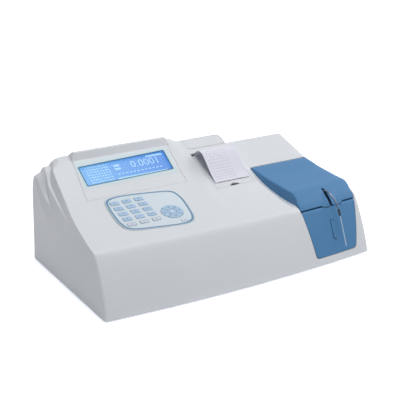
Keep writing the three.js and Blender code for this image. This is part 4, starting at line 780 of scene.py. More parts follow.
def lit(name, left, right):
    """A lit screen: its colour runs from one side to the other, with fine lines of dots."""
    material, tree, shader = new_material(name)
    place = made_by(tree, "TexCoord", "Object", {})
    axes = tree.nodes.new("ShaderNodeSeparateXYZ")
    fill(tree, axes, {"Vector": place})
    along = made_by(tree, "MapRange", "Result", {
        "Value": axes.outputs["X"], "From Min": LIT_START * MM, "From Max": LIT_END * MM,
    })
    run = made_by(tree, "Mix", "Result", {
        "Factor": along, "A": (*left, 1.0), "B": (*right, 1.0),
    }, data_type="RGBA")
    dots = made_by(tree, "TexWave", "Color", {"Vector": place, "Scale": 320.0})
    fill(tree, shader, {
        "Base Color": (0.02, 0.03, 0.05, 1.0), "Roughness": 0.4, "Emission Strength": 1.0,
        "Emission Color": made_by(tree, "Mix", "Result", {
            "Factor": 0.08, "A": run, "B": dots,
        }, data_type="RGBA", blend_type="MULTIPLY"),
    })
    return material


WHITE = plastic("white_casing", (0.715, 0.735, 0.765), 0.48)
BLUE = plastic("blue_plastic", (0.088, 0.24, 0.455), 0.5, edge=0.6, specular=0.2)
DARK = plastic("dark_plastic", (0.03, 0.033, 0.04), 0.5)
plastic("rubber", (0.022, 0.022, 0.024), 0.8, scale=1400.0, strength=0.3)
metal("steel", (0.62, 0.63, 0.65), 0.25, (1.0, 1.0, 12.0))
metal("aluminium", (0.66, 0.67, 0.69), 0.42, (0.05, 1.0, 1.0))
plastic("board", (0.02, 0.16, 0.08), 0.45, scale=900.0, strength=0.2)
PAPER = plastic("paper", (0.80, 0.80, 0.88), 0.85, edge=0.05, scale=1800.0, strength=0.2)
PRINT = plastic("printed_rows", (0.58, 0.61, 0.70), 0.85, edge=0.05)
OVERLAY = plastic("overlay", (0.66, 0.74, 0.80), 0.42, edge=0.2)
BORDER = plastic("overlay_border", (0.16, 0.27, 0.41), 0.42, edge=0.1)
RIM = plastic("overlay_rim", (0.66, 0.82, 0.88), 0.42, edge=0.1)
KEY = plastic("key_blue", (0.40, 0.56, 0.74), 0.42, edge=0.3)
MARK = plastic("key_marks", (0.16, 0.26, 0.45), 0.45, edge=0.05)
MAUVE = plastic("key_outline", (0.38, 0.36, 0.50), 0.45, edge=0.05)
PALE_MARK = plastic("pale_marks", (0.72, 0.80, 0.88), 0.45, edge=0.05)
TEAL = plastic("window_border", (0.03, 0.12, 0.20), 0.3, edge=0.05)
CYAN = plastic("window_outline", (0.40, 0.62, 0.72), 0.3, edge=0.05)
FILM = plastic("display_film", (0.66, 0.76, 0.80), 0.3, edge=0.1)
NEEDLE = plastic("needle_steel", (0.48, 0.62, 0.76), 0.3, edge=0.05)
WINDOW = clear("window", (0.8, 0.9, 1.0), 0.05, 0.08)
TUBE = metal("tube", (0.16, 0.19, 0.26), 0.22)
SCREEN = lit("screen", (0.115, 0.40, 0.86), (0.008, 0.21, 0.74))
BRIGHT = lit("screen_marks", (0.34, 0.68, 0.93), (0.36, 0.66, 0.95))

# Pieces, each in place of a CAD node
node_slots = {part["node"]: part["material_slot"] for part in frame["record"]["subparts"]}
node_bodies = {
    node: body for body, nodes in frame["record"]["behaviour"]["bodies"].items() for node in nodes
}


def piece(name, node, *parts, smooth_angle=32.0):
    """Puts meshes, each with its material, into the scene as one piece that stands for a CAD node."""
    bm = bmesh.new()
    used = []
    for mesh, material in parts:
        if material not in used:
            used.append(material)
        start = len(bm.faces)
        bm.from_mesh(mesh)
        bm.faces.ensure_lookup_table()
        for face in bm.faces[start:]:
            face.material_index = used.index(material)
    made = bpy.data.meshes.new(name)
    bm.to_mesh(made)
    bm.free()
    for material in used:
        made.materials.append(material)
    made.shade_smooth()
    made.set_sharp_from_angle(angle=math.radians(smooth_angle))
    obj = linked(name, made)
    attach(obj, node_bodies[node])
    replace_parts(obj, node)


def dressed_copy(node):
    """A piece made from a CAD node's own surface, with smooth shading and its material."""
    bm = bmesh.new()
    bm.from_mesh(frame["nodes"][node].data)
    bmesh.ops.remove_doubles(bm, verts=bm.verts, dist=TINY * MM)
    mesh = bpy.data.meshes.new("copy")
    bm.to_mesh(mesh)
    bm.free()
    piece(f"{node}_look", node, (mesh, materials[node_slots[node]]))


# Sizes of what is set into the casing
display = Sizes(
    top_left=-155.505, top_right=-6.51, bottom_left=-164.997, bottom_right=-11.991, centre=-84.504,
    top=95.6, bottom=29.0, centre_y=70.6, margin=5.0, depth=43.0, sunk=0.4, thick=1.6,
    module_over=3.5, module_thick=8.5,
)
brow = Sizes(
    left_over=2.5, right_over=4.5, top_inset=6.0, front=97.0, lean=1.6, edge=1.0, rear_rise=9.0,
    rear=113.0, end_round=1.0,
)
printer = Sizes(
    x=53.004, door_width=64.0, door_front=3.0, door_rear=70.5, notch_radius=9.0, notch_depth=4.8,
    notch_offset=1.8, hinge_y=68.0, hinge_drop=2.4, barrel_radius=2.0, barrel_length=3.0,
    pin_radius=0.9, pin_reach=1.8, boss_width=4.0, boss_depth=9.0, boss_height=7.0, slot_rear=76.2,
    cover_offset=2.0, cover_width=63.0, cover_front=85.0, cover_rear=107.0, cover_corner=5.0,
)
lid = Sizes(
    thick=2.6, skirt_z=75.2, rear_y=37.0, side_gap=0.4, right_inset=0.6, right_inset_front=4.9,
    barrel_y=41.2, barrel_z=98.6, barrel_radius=3.2, barrel_over=0.4, overhang_radius=4.8,
    pin_radius=1.2, pin_seat=1.6, slit_x=156.6, slit_top=-59.5, slit_half=2.6, slit_beside=6.0,
    scoop_left=143.0, scoop_right=175.0, scoop_run=3.0, scoop_z=71.9, edge=2.2,
    left_xs=[112.0, 122.0, 132.0], right_xs=[186.0, 192.0],
)
panel = Sizes(
    top_left=100.6, top_right=202.1, bottom_left=110.4, bottom_right=187.8, top=78.0, bottom=11.0,
    corner=7.0, lip_y=-72.0,
)
paddle = Sizes(
    x=150.8, z=44.0, width=7.0, length=27.0, proud=0.8, deep=9.0, tilt=24.0, rounding=0.7,
    flange_width=11.0, flange_length=31.0, flange_thick=1.2, curve_room=0.7,
)
keypad = Sizes(
    x=-95.004, y=-17.0, half_width=55.0, half_depth=46.0, proud=0.3, pocket=1.0, rim=1.6,
    rounding=0.25, border_start=1.0, border_width=3.0, line=0.7,
)
KEYPAD_OUTLINE_SHARES = [
    (-0.88, 0.86), (-0.57, 0.99), (-0.06, 0.95), (0.44, 0.86), (0.83, 0.76), (0.97, 0.58), (1, 0.2),
    (0.95, -0.25), (0.87, -0.68), (0.76, -0.9), (0.53, -0.99), (0.11, -0.94), (-0.35, -0.85),
    (-0.71, -0.77), (-0.92, -0.62), (-1, -0.34), (-1, 0.04), (-0.97, 0.46),
]
bench = Sizes(wheel_wall=137.004, lamp_wall=174.006, beam_y=-20.0, cell_half=12.0)
rear = Sizes(half=165.0, bottom=12.0, top=96.0)


def display_outline(inset):
    return [
        (display.bottom_left + inset, display.bottom + inset),
        (display.bottom_right - inset, display.bottom + inset),
        (display.top_right - inset, display.top - inset),
        (display.top_left + inset, display.top - inset),
    ]


def panel_outline(inset):
    left, right = panel.bottom_left + inset, panel.bottom_right - inset
    bottom, corner = panel.bottom + inset, panel.corner
    arc = quarter(8)[1:]
    return [
        (panel.top_left + inset, panel.top), (left, bottom + corner),
        *[(left + corner * rise, bottom + corner * (1 - run)) for run, rise in arc],
        *[(right - corner * (1 - run), bottom + corner * rise) for run, rise in arc],
        (panel.top_right - inset, panel.top),
    ]


def keypad_outline(inset):
    """The overlay's outline, against the clock, through its points."""
    half_x, half_y = keypad.half_width - inset, keypad.half_depth - inset
    points = [Vector((x * half_x, y * half_y)) for x, y in reversed(KEYPAD_OUTLINE_SHARES)]
    outline = []
    for i in range(len(points)):
        near = [points[(i + k) % len(points)] for k in (-1, 0, 1, 2)]
        outline += [tuple(spline_point(*near, step / 5)) for step in range(5)]
    return outline


def keypad_deck_z(y):
    """Height of the hump where the bowed front stretches it forward."""
    stretch = bow(keypad.x, -casing.bow_fade) / casing.bow_fade
    return hump_z(y / (1 + stretch) if y < 0 else y)


keypad_zs = [keypad_deck_z(keypad.y + side * keypad.half_depth) for side in (-1, 1)]
keypad_frame = slope_frame(
    keypad.x, keypad.y, sum(keypad_zs) / 2,
    math.atan((keypad_zs[1] - keypad_zs[0]) / 2 / keypad.half_depth),
)
display_frame = slope_frame(
    display.centre, display.centre_y, hump_z(display.centre_y), math.atan(casing.display_slope),
)
window_width = display.top_right - display.top_left - display.margin * 2


def upward(outline):
    """Room above the low deck."""
    return prism(outline, casing.low_deck_z, HEIGHT + OVERRUN)


def cover_prism(side_gap, front_gap):
    front, rear_end = printer.cover_front + front_gap, printer.cover_rear - side_gap
    return upward(rounded_rectangle(
        printer.x + printer.cover_offset, (front + rear_end) / 2,
        printer.cover_width - side_gap * 2, rear_end - front, printer.cover_corner - side_gap,
    ))


def lid_rod(start, end, radius):
    """A rod on the axis of the lid's hinge."""
    return rod_x(start, end, lid.barrel_y, lid.barrel_z, radius)


def door_rod(start, end, radius):
    """A rod on the axis of the printer door's hinge."""
    return rod_x(start, end, printer.hinge_y, hinge_z, radius)


# Casing, and the openings that are cut from its skin
casing_outer = loft(casing_rings(), hinge_index(fine))
casing_grown = loft(grown_rings(), hinge_index(fine))
shell = without(casing_outer, loft(inner_rings(WALL), hinge_index(coarse)))
door_left = printer.x - printer.door_width / 2
door_right = printer.x + printer.door_width / 2
hinge_z = podium_z(printer.hinge_y) - printer.hinge_drop
barrel_right = WALL_FACE_X + lid.barrel_over
boss_away = (printer.door_width + printer.boss_width) / 2 + GAP
bosses = [
    block(
        printer.x + side * boss_away, printer.hinge_y, hinge_z,
        printer.boss_width, printer.boss_depth, printer.boss_height,
    ) for side in (-1, 1)
]
casing_openings = [
    upright_prism(panel_outline(0), -FAR, panel.lip_y),
    block(0, HALF_DEPTH, (rear.bottom + rear.top) / 2, rear.half * 2, OVERRUN, rear.top - rear.bottom),
    block(
        (bench.wheel_wall + bench.lamp_wall) / 2, bench.beam_y, casing.shelf_z,
        bench.lamp_wall - bench.wheel_wall, (bench.cell_half + WALL) * 2, OVERRUN / 2,
    ),
    lid_rod(
        lid_left_x(lid.barrel_y) - lid.pin_seat - GAP, side_x(lid.barrel_z) - lid.pin_seat + GAP,
        lid.pin_radius + GAP,
    ),
    lid_rod(lid_left_x(lid.barrel_y), barrel_right + GAP * 2, lid.barrel_radius + GAP * 2),
    upward(display_outline(0)),
    prism(keypad_outline(-GAP), -keypad.pocket, OVERRUN, keypad_frame),
    prism(keypad_outline(keypad.rim), -OVERRUN / 2, OVERRUN, keypad_frame),
    upward(rectangle(door_left - GAP, door_right + GAP, printer.door_front - GAP, printer.slot_rear)),
    cover_prism(0, 0),
    door_rod(
        door_left - printer.pin_reach - GAP, door_right + printer.pin_reach + GAP,
        printer.pin_radius + GAP,
    ),
]
skin = with_added(shell, *[within(boss, casing_outer) for boss in bosses])
piece("casing_shell", "upper_casing", (without(skin, *casing_openings), WHITE), smooth_angle=18.0)


# Display plate with its brow
def brow_outline():
    hump_front = hump_z(brow.front)
    front_top = brow.front + brow.lean
    rear_top = brow.rear - brow.rear_rise
    outline = [
        (brow.front - brow.lean * 2, hump_front - WALL), (brow.front - brow.lean, hump_front + GAP),
    ]
    outline += curve_points(
        (front_top - brow.lean * 0.3, HEIGHT - brow.edge), (front_top, HEIGHT),
        (front_top + brow.edge, HEIGHT), 8,
    )
    outline += curve_points(
        (rear_top - brow.edge, HEIGHT), (rear_top, HEIGHT),
        (rear_top + brow.edge * 1.2, HEIGHT - brow.edge * 1.3), 8,
    )
    outline.append((brow.rear, hump_z(brow.rear) - WALL))
    return outline


def brow_end(x, inward):
    """Rings that round one end of the brow, from its edge inwards."""
    base_z = hump_z(brow.front) - WALL
    rings = []
    for run, rise in quarter(3):
        ring = []
        for y, z in inset_outline(brow_outline()[::-1], brow.end_round * (1 - run))[::-1]:
            share = (z - base_z) / (HEIGHT - base_z)
            ring.append((x + inward * (brow.top_inset * share + brow.end_round * rise), y, z))
        rings.append(np.array(ring))
    return rings


plate_prism = upward(display_outline(GAP))
brow_left = brow_end(display.top_left - brow.left_over, 1)
brow_right = brow_end(display.top_right + brow.right_over, -1)
brow_form = loft(brow_left + brow_right[::-1])
brow_block = without(brow_form, without(casing_grown, plate_prism))
display_hole = block(0, 0, 0, window_width, display.depth, OVERRUN, display_frame)
display_plate = without(with_added(within(shell, plate_prism), brow_block), display_hole)
piece("display_plate_with_brow", "display_plate", (display_plate, WHITE))

# Printer door and cover
notch = prism(
    circle(
        printer.x - printer.notch_offset,
        printer.door_front + printer.notch_depth - printer.notch_radius, printer.notch_radius,
    ), casing.low_deck_z, HEIGHT,
)
door_outline = rectangle(door_left, door_right, printer.door_front, printer.door_rear)
door_skin = without(within(shell, upward(door_outline)), notch)
door_rods = [
    door_rod(start, end, radius) for start, end, radius in (
        (door_left - printer.pin_reach, door_left, printer.pin_radius),
        (door_left, door_left + printer.barrel_length, printer.barrel_radius),
        (door_right - printer.barrel_length, door_right, printer.barrel_radius),
        (door_right, door_right + printer.pin_reach, printer.pin_radius),
    )
]
piece("printer_door_skin", "printer_door", (with_added(door_skin, *door_rods), WHITE))
piece("printer_cover_skin", "printer_cover", (within(shell, cover_prism(GAP, SEAM)), WHITE))


# Sample lid
lid_ys = spread(LID_Y_SHARES, casing.face_top[0], lid.barrel_y)
lid_zs = spread(LID_Z_SHARES, casing.face_top[1], casing.hinge_deck_z)
lid_top = monotone(lid_ys, lid_zs)
face_y = monotone(lid_zs, lid_ys)
LID_STEPS = 44
LID_STEP_SHARES = [(i / LID_STEPS) ** 1.6 for i in range(LID_STEPS + 1)]
lid_middle_xs = [
    *lid.left_xs, lid.scoop_left - lid.scoop_run, lid.scoop_left,
    lid.slit_x - lid.slit_beside, lid.slit_x, lid.slit_x + lid.slit_beside,
    lid.scoop_right, lid.scoop_right + lid.scoop_run, *lid.right_xs,
]


def lid_skirt_z(x):
    turns = [
        lid.scoop_left - lid.scoop_run, lid.scoop_left, lid.scoop_right, lid.scoop_right + lid.scoop_run,
    ]
    return float(np.interp(x, turns, [lid.skirt_z, lid.scoop_z, lid.scoop_z, lid.skirt_z]))


def lid_left(inset):
    return lambda y, z: lid_left_x(y) + lid.side_gap + inset


def lid_right(inset):
    return lambda y, z: side_x(z) - flared(y, lid.right_inset, lid.right_inset_front) - inset


def lid_line(low):
    start = face_y(low)
    ys = spread(LID_STEP_SHARES, start, lid.barrel_y)
    return [(start, low), *[(y, lid_top(y)) for y in ys[1:]]]


def lid_ring(x_at, low=lid.skirt_z, inset=0.0):
    """A section of the lid's outer form, its top line moved inwards by an inset."""
    return bowed([
        *inset_line(lid_line(low), inset, low)[:-1],
        (lid.barrel_y, casing.hinge_deck_z - inset),
        (lid.barrel_y - lid.barrel_radius, lid.barrel_z - lid.barrel_radius), (lid.rear_y, lid.skirt_z),
    ], x_at)


def lid_inner_ring(x_at, low=lid.skirt_z):
    line = inset_line(lid_line(low), lid.thick)
    rear_top = casing.hinge_deck_z - lid.thick
    return bowed([
        (face_y(low) + lid.thick, 0.0), *line[1:-1],
        (line[-1][0], rear_top), (HALF_DEPTH, rear_top), (HALF_DEPTH, 0.0),
    ], x_at)


def across_lid(ring):
    return [ring(lambda y, z, x=x: x, lid_skirt_z(x)) for x in lid_middle_xs]


def rounded_end(side):
    return [lid_ring(side(lid.edge * rise), inset=lid.edge * (1 - run)) for run, rise in quarter(3)]


right_give = across.wall_inset + across.step_run + GAP + lid.thick - lid.right_inset
lid_rings = rounded_end(lid_left) + across_lid(lid_ring) + rounded_end(lid_right)[::-1]
lid_inner_rings = [
    lid_inner_ring(lid_left(lid.thick)), *across_lid(lid_inner_ring),
    lid_inner_ring(lid_right(right_give)),
]
lid_high = next(i for i, share in enumerate(LID_STEP_SHARES) if share > 0.5)
slit = prism(
    rounded_rectangle(
        lid.slit_x, lid.slit_top - FAR / 2, lid.slit_half * 2, FAR, lid.slit_half - TINY * 10,
    ), 0.0, HEIGHT,
)
overhang_room = lid_rod(WALL_FACE_X - GAP, HALF_WIDTH, lid.overhang_radius)
barrel_left = lid_left_x(lid.barrel_y) + lid.side_gap
barrel = lid_rod(barrel_left, barrel_right, lid.barrel_radius)
barrel_bore = lid_rod(barrel_left - WALL, barrel_right + WALL, lid.pin_radius + GAP)
lid_skin = without(
    loft(lid_rings, lid_high), loft(lid_inner_rings, lid_high), casing_grown, slit, overhang_room,
)
piece("sample_lid_shell", "sample_lid", (without(with_added(lid_skin, barrel), barrel_bore), BLUE))

# Front panel and its start paddle
face_points = curve_points((FRONT_Y, 0.0), casing.face_bend, casing.face_top, 24)
paddle_y = monotone([z for _, z in face_points], [y for y, _ in face_points])(paddle.z)
paddle_frame = slope_frame(
    paddle.x, paddle_y - bow(paddle.x, paddle_y), paddle.z, math.radians(90.0 - paddle.tilt),
)


def oval(size_x, size_y, grow=0.0):
    return rounded_rectangle(0, 0, size_x + grow * 2, size_y + grow * 2, size_x / 2 + grow - TINY, 12)


scoop_cut = upright_prism([
    (lid.scoop_left - lid.scoop_run * 2, lid.skirt_z + lid.scoop_run),
    (lid.scoop_left - GAP, lid.scoop_z - GAP),
    (lid.scoop_right + GAP, lid.scoop_z - GAP),
    (lid.scoop_right + lid.scoop_run * 2, lid.skirt_z + lid.scoop_run),
], -FAR, panel.lip_y - WALL * 2)
paddle_hole = prism(oval(paddle.width, paddle.length, SEAM), -OVERRUN, OVERRUN, paddle_frame)
panel_skin = within(shell, upright_prism(panel_outline(SEAM), -FAR, panel.lip_y - GAP))
piece("front_panel_skin", "front_panel", (without(panel_skin, paddle_hole, scoop_cut), BLUE))
flange_face = -WALL - GAP - paddle.curve_room
paddle_cap = with_added(
    prism(
        oval(paddle.width, paddle.length), -paddle.deep, paddle.proud, paddle_frame, paddle.rounding,
    ),
    prism(
        oval(paddle.flange_width, paddle.flange_length), flange_face - paddle.flange_thick,
        flange_face, paddle_frame,
    ),
)
piece("paddle_cap", "aspirate_paddle", (paddle_cap, BLUE))

# Sampling tube, its sleeve and needle, with X from the flow cell
tube = Sizes(
    cell_x=156.492, radius=1.25, sleeve_radius=1.7, sleeve_end_share=0.75, needle_radius=0.75,
    needle_start_share=0.01,
)
TUBE_ROUTE = [
    (0, -36, 81), (0, -46, 82.5), (0, -56, 85.4), (0, -64, 88.6), (0.1, -72, 90.2),
    (0.3, -80, 87.6), (1.3, -86.5, 82.6), (2.3, -91.6, 77.2), (2.9, -94.6, 71.8),
]
SLEEVE_ROUTE = [(2.95, -94.9, 71.2), (3.3, -96.6, 66.6), (3.5, -98.4, 61.6)]
NEEDLE_ROUTE = [SLEEVE_ROUTE[-1], (3.9, -114.6, 22)]


def from_cell(route):
    return [Vector((tube.cell_x + x, y, z)) for x, y, z in route]


needle_line = from_cell(NEEDLE_ROUTE)
needle_line[0] = needle_line[0].lerp(needle_line[1], tube.needle_start_share)
piece("tube_bend", "sipper_tube", (swept(from_cell(TUBE_ROUTE), tube.radius), TUBE))
piece("tube_sleeve", "sipper_sleeve", (
    swept(from_cell(SLEEVE_ROUTE), tube.sleeve_radius, 16, tube.sleeve_end_share), DARK,
))
piece("needle", "sipper_needle", (swept(needle_line, tube.needle_radius, 12), NEEDLE))

# Keypad overlay with its border line, and the keys
key = Sizes(
    width=12.6, depth=8.4, flange_thick=0.8, flange_over=0.5, proud=0.9, corner=1.6, rounding=0.35,
    column_x=-39.5, pitch_x=18.0, row_y=29.4, pitch_y=12.8, columns=3, clearance=0.3,
    function_depth=7.0, function_y=-21.8, small_x=31.5, small_y=-36.5, small_width=12.0,
    small_depth=6.4, rim_inset=0.3, rim_width=0.7, small_rim_width=0.4,
)
pad = Sizes(x=24.4, y=-13.4, outer=15.0, inner=6.2, split=0.5, steps=16)
mark = Sizes(
    digit=5.2, digit_stretch=1.1, dot_radius=0.8, bar=(4.6, 1.0), small_bar=(4.0, 0.9),
    pad_bar=(5.4, 1.5), corner_share=0.3, arrow=[(1.7, 0.0), (-1.1, 1.9), (-1.1, -1.9)],
)
overlay_bottom = GAP - keypad.pocket
flange_top = overlay_bottom - GAP
key_bottom = flange_top - key.flange_thick


def key_outline(x, y, size_x, size_y, grow=0.0):
    return rounded_rectangle(x, y, size_x + grow * 2, size_y + grow * 2, key.corner + grow, 5)


key_places = {}
for i, name in enumerate(["7", "8", "9", "4", "5", "6", "1", "2", "3", "0", "dot", "clear"]):
    key_places[name] = (
        key.column_x + i % key.columns * key.pitch_x, key.row_y - i // key.columns * key.pitch_y,
        key.width, key.depth,
    )
for i in range(key.columns):
    key_places[f"f{i + 1}"] = (
        key.column_x + i * key.pitch_x, key.function_y, key.width, key.function_depth,
    )
key_places["small"] = (key.small_x, key.small_y, key.small_width, key.small_depth)

hole_outlines = [key_outline(*spot, key.clearance) for spot in key_places.values()]
hole_outlines.append(circle(pad.x, pad.y, pad.outer + key.clearance, 96))
overlay = without(
    prism(keypad_outline(0), overlay_bottom, keypad.proud, keypad_frame, keypad.rounding),
    *[prism(outline, -OVERRUN, OVERRUN, keypad_frame) for outline in hole_outlines],
)


def border_ring(start, wide, lift):
    return ring_between(
        keypad_outline(start), keypad_outline(start + wide), keypad.proud - INK, keypad.proud + lift,
        keypad_frame,
    )


piece(
    "keypad_film", "keypad_overlay", (overlay, OVERLAY),
    (border_ring(keypad.border_start - keypad.line, keypad.line, INK / 2), RIM),
    (border_ring(keypad.border_start, keypad.border_width, INK), BORDER),
    (border_ring(keypad.border_start + keypad.border_width, keypad.line, INK / 2), RIM),
)


def text_mesh(text, size, x, y, level, matrix, stretch=1.0):
    """Plain characters as a thin solid on a frame's plane."""
    curve = bpy.data.curves.new("text", "FONT")
    curve.body = text
    curve.size = size * MM
    curve.extrude = INK * MM / 2
    curve.align_x = "CENTER"
    curve.align_y = "CENTER"
    curve.resolution_u = 4
    made = evaluated(linked("text", curve))
    at = matrix.copy()
    at.translation *= MM
    shift = Matrix.Translation((x * MM, y * MM, level * MM))
    made.transform(at @ shift @ Matrix.Diagonal((stretch, 1, 1, 1)))
    return made


def key_mark(outline):
    return prism(outline, key.proud - INK, key.proud + INK, keypad_frame)


def key_bar(x, y, size_x, size_y):
    return key_mark(rounded_rectangle(x, y, size_x, size_y, size_y * mark.corner_share, 4))


def key_rim(x, y, size_x, size_y, wide):
    outlines = [
        rounded_rectangle(x, y, size_x - inset * 2, size_y - inset * 2, key.corner, 5)
        for inset in (key.rim_inset, key.rim_inset + wide)
    ]
    return ring_between(*outlines, key.proud - INK, key.proud + INK, keypad_frame)


def add_key(name, outline, flange_outline, marks, material=KEY):
    cap = with_added(
        prism(outline, key_bottom, key.proud, keypad_frame, key.rounding),
        prism(flange_outline, key_bottom, flange_top, keypad_frame),
    )
    piece(f"cap_{name}", f"key_{name}", (cap, material), *marks)


for name, spot in key_places.items():
    x, y = spot[:2]
    material = KEY
    if name.isdigit():
        digit = text_mesh(name, mark.digit, x, y, key.proud, keypad_frame, mark.digit_stretch)
        marks = [(digit, MARK)]
    elif name == "dot":
        marks = [(key_mark(circle(x, y, mark.dot_radius, 20)), MARK)]
    elif name == "clear":
        marks = [(key_bar(x, y, *mark.bar), MARK)]
    elif name == "small":
        material = OVERLAY
        marks = [(key_rim(*spot, key.small_rim_width), RIM), (key_bar(x, y, *mark.small_bar), MAUVE)]
    else:
        material = OVERLAY
        marks = [(key_rim(*spot, key.rim_width), MAUVE), (key_bar(x, y, *mark.bar), MARK)]
    add_key(name, key_outline(*spot), key_outline(*spot, key.flange_over), marks, material)


def arrow_outline(turn, outer):
    """One of the pad's four outer keys: a part of a ring."""
    points = []
    for radius, sign in ((outer, 1), (pad.inner, -1)):
        cut = math.asin(pad.split / 2 / radius)
        for i in range(pad.steps + 1):
            angle = turn + sign * (i / pad.steps * 2 - 1) * (math.pi / 4 - cut)
            points.append((pad.x + radius * math.cos(angle), pad.y + radius * math.sin(angle)))
    return points


def arrow_mark(turn):
    """A small triangle that points away from the pad's middle."""
    middle = (pad.outer + pad.inner) / 2
    points = []
    for reach, side in mark.arrow:
        away = Vector((middle + reach, side))
        away.rotate(Matrix.Rotation(turn, 2))
        points.append((pad.x + away.x, pad.y + away.y))
    return key_mark(points)


for i, name in enumerate(["right", "up", "left", "down"]):
    turn = i * math.pi / 2
    outlines = [arrow_outline(turn, pad.outer + grow) for grow in (0.0, key.flange_over)]
    add_key(name, *outlines, [(arrow_mark(turn), MARK)])
middle_outline = circle(pad.x, pad.y, pad.inner - GAP)
pad_mark = key_bar(pad.x, pad.y, *mark.pad_bar)
add_key("enter", middle_outline, middle_outline, [(pad_mark, PALE_MARK)])

# Display window: a clear pane under a printed film that leaves the screen free
film = Sizes(
    low=-0.05, high=0.14, line=1.3, rim=0.8, corner=3.0, screen_corner=2.4, glass_corner=1.0,
    glass_rounding=0.3,
)
FILM_CORNERS = [(-74.0, -25.6), (70.6, -24.8), (74.4, 25.4), (-70.2, 26.0)]
SCREEN_CORNERS = [(-68.8, -20.6), (65.7, -18.0), (67.3, 20.0), (-68.3, 15.8)]


def screen_outline(inset):
    return rounded_corners(SCREEN_CORNERS, inset, film.screen_corner)


def screen_ring(start, end, lift):
    return ring_between(
        screen_outline(start), screen_outline(end), film.low, film.high + lift, display_frame,
    )


film_sheet = without(
    prism(rounded_corners(FILM_CORNERS, 0.0, film.corner), film.low, film.high, display_frame),
    prism(screen_outline(-film.rim), -OVERRUN, OVERRUN, display_frame),
)
glass = prism(
    rounded_rectangle(0, 0, window_width - GAP * 2, display.depth - GAP * 2, film.glass_corner, 10),
    -display.sunk - display.thick, -display.sunk, display_frame, film.glass_rounding,
)
piece(
    "window_pane", "display_window", (glass, WINDOW), (film_sheet, FILM),
    (screen_ring(-film.rim, 0.0, INK / 2), CYAN), (screen_ring(0.0, film.line, INK), TEAL),
)

# Display module, and what its screen shows: a table of short bars at the left, and beside it two
# blocks, a line of digits, a dashed line and a bar above and below
module = Sizes(
    high=-WALL - GAP, width=window_width + display.module_over * 2,
    depth=display.depth + display.module_over * 2, corner=2.0, border=1.0, body_low=0.3, face_low=0.4,
)
table = Sizes(
    rows=7, columns=9, x=-57.0, y=14.0, pitch_x=3.9, pitch_y=4.6, width=1.9, spread=1.1, depth=2.1,
)
dashes = Sizes(count=12, x=-14.0, y=-6.6, pitch=6.0, width=3.4, depth=1.8)
digits = Sizes(text="0.0001", size=17.0, x=32.0, y=6.0)
blocks = [
    (-12.0, 9.0, 9.0, 3.6), (50.0, 16.0, 26.0, 3.2), (-12.0, 3.0, 9.0, 3.6), (20.0, -14.6, 78.0, 3.0),
]
screen_round = Sizes(bar=0.3, block=0.8)


def module_plate(border, low, high):
    width, depth = module.width - border * 2, module.depth - border * 2
    return prism(rounded_rectangle(0, 0, width, depth, module.corner), low, high, display_frame)


def screen_bar(x, y, size_x, size_y, corner=screen_round.bar):
    outline = rounded_rectangle(x, y, size_x, size_y, corner, 3)
    return (prism(outline, module.high - INK, module.high + INK, display_frame), BRIGHT)


module_body = module_plate(0.0, module.high - display.module_thick, module.high - module.body_low)
module_face = module_plate(module.border, module.high - module.face_low, module.high)
screen = [(module_body, DARK), (module_face, SCREEN)]
for row in range(table.rows):
    for column in range(table.columns):
        wide = table.width + table.spread * ((row * 5 + column * 3) % 4) / 3
        x, y = table.x + column * table.pitch_x, table.y - row * table.pitch_y
        screen.append(screen_bar(x, y, wide, table.depth))
screen += [screen_bar(*spot, screen_round.block) for spot in blocks]
screen += [
    screen_bar(dashes.x + i * dashes.pitch, dashes.y, dashes.width, dashes.depth)
    for i in range(dashes.count)
]
text = text_mesh(digits.text, digits.size, digits.x, digits.y, module.high + INK, display_frame)
piece("screen_module", "lcd_module", *screen, (text, BRIGHT))

# Printed strip
PAPER_LINE = [
    (71.15, 124), (71.1, 127.2), (69.1, 131), (63.8, 134.8), (57.5, 136.6), (50.5, 135.2), (43, 129.6),
    (35, 121.6), (27, 113.2), (19.5, 106.6), (12.5, 102.2),
]
paper = Sizes(width=57.0, thick=0.4, steps=72)
rows = Sizes(
    steps=range(34, 70, 3), columns=8, left=-22.0, pitch=4.3, width=2.0, spread=1.6, depth=0.9, broken=4,
)
strip_line = smooth_line([(0, y, z) for y, z in PAPER_LINE], paper.steps)


def strip_frame(i):
    """A frame at one of the strip's steps: Y back towards the slot, Z out of its upper face."""
    along = strip_line[max(0, i - 1)] - strip_line[min(paper.steps, i + 1)]
    return slope_frame(printer.x, *strip_line[i].yz, math.atan2(along.z, along.y))


def strip_mesh():
    upper, lower = (
        [strip_frame(i) @ Vector((0, 0, lift)) for i in range(paper.steps + 1)]
        for lift in (paper.thick / 2, -paper.thick / 2)
    )
    outline = upper + lower[::-1]
    points = [p + Vector((side * paper.width / 2, 0, 0)) for side in (-1, 1) for p in outline]
    count = len(outline)
    faces = bands(count, 2)
    for base in (0, count):
        for i in range(paper.steps):
            faces.append((base + i, base + i + 1, base + count - 2 - i, base + count - 1 - i))
    return solid(points, faces)


def printed_dash(i, x, wide):
    """A short printed dash on the strip's upper face."""
    outline = rectangle(x - wide / 2, x + wide / 2, -rows.depth / 2, rows.depth / 2)
    return prism(outline, paper.thick / 2 - INK, paper.thick / 2 + INK / 2, strip_frame(i))


printed = []
for row, i in enumerate(rows.steps):
    for column in range(rows.columns):
        if row < rows.broken and (row + column * 2) % 3 == 0:
            continue
        wide = rows.width + rows.spread * ((row * 7 + column * 5) % 6) / 5
        printed.append((printed_dash(i, rows.left + column * rows.pitch, wide), PRINT))
piece("printed_strip", "paper_strip", (strip_mesh(), PAPER), *printed)

# The other pieces keep the shapes of their CAD nodes
shown = {node for obj in bpy.data.objects for node in obj.get("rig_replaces", [])}
for node in frame["nodes"]:
    if node not in shown:
        dressed_copy(node)

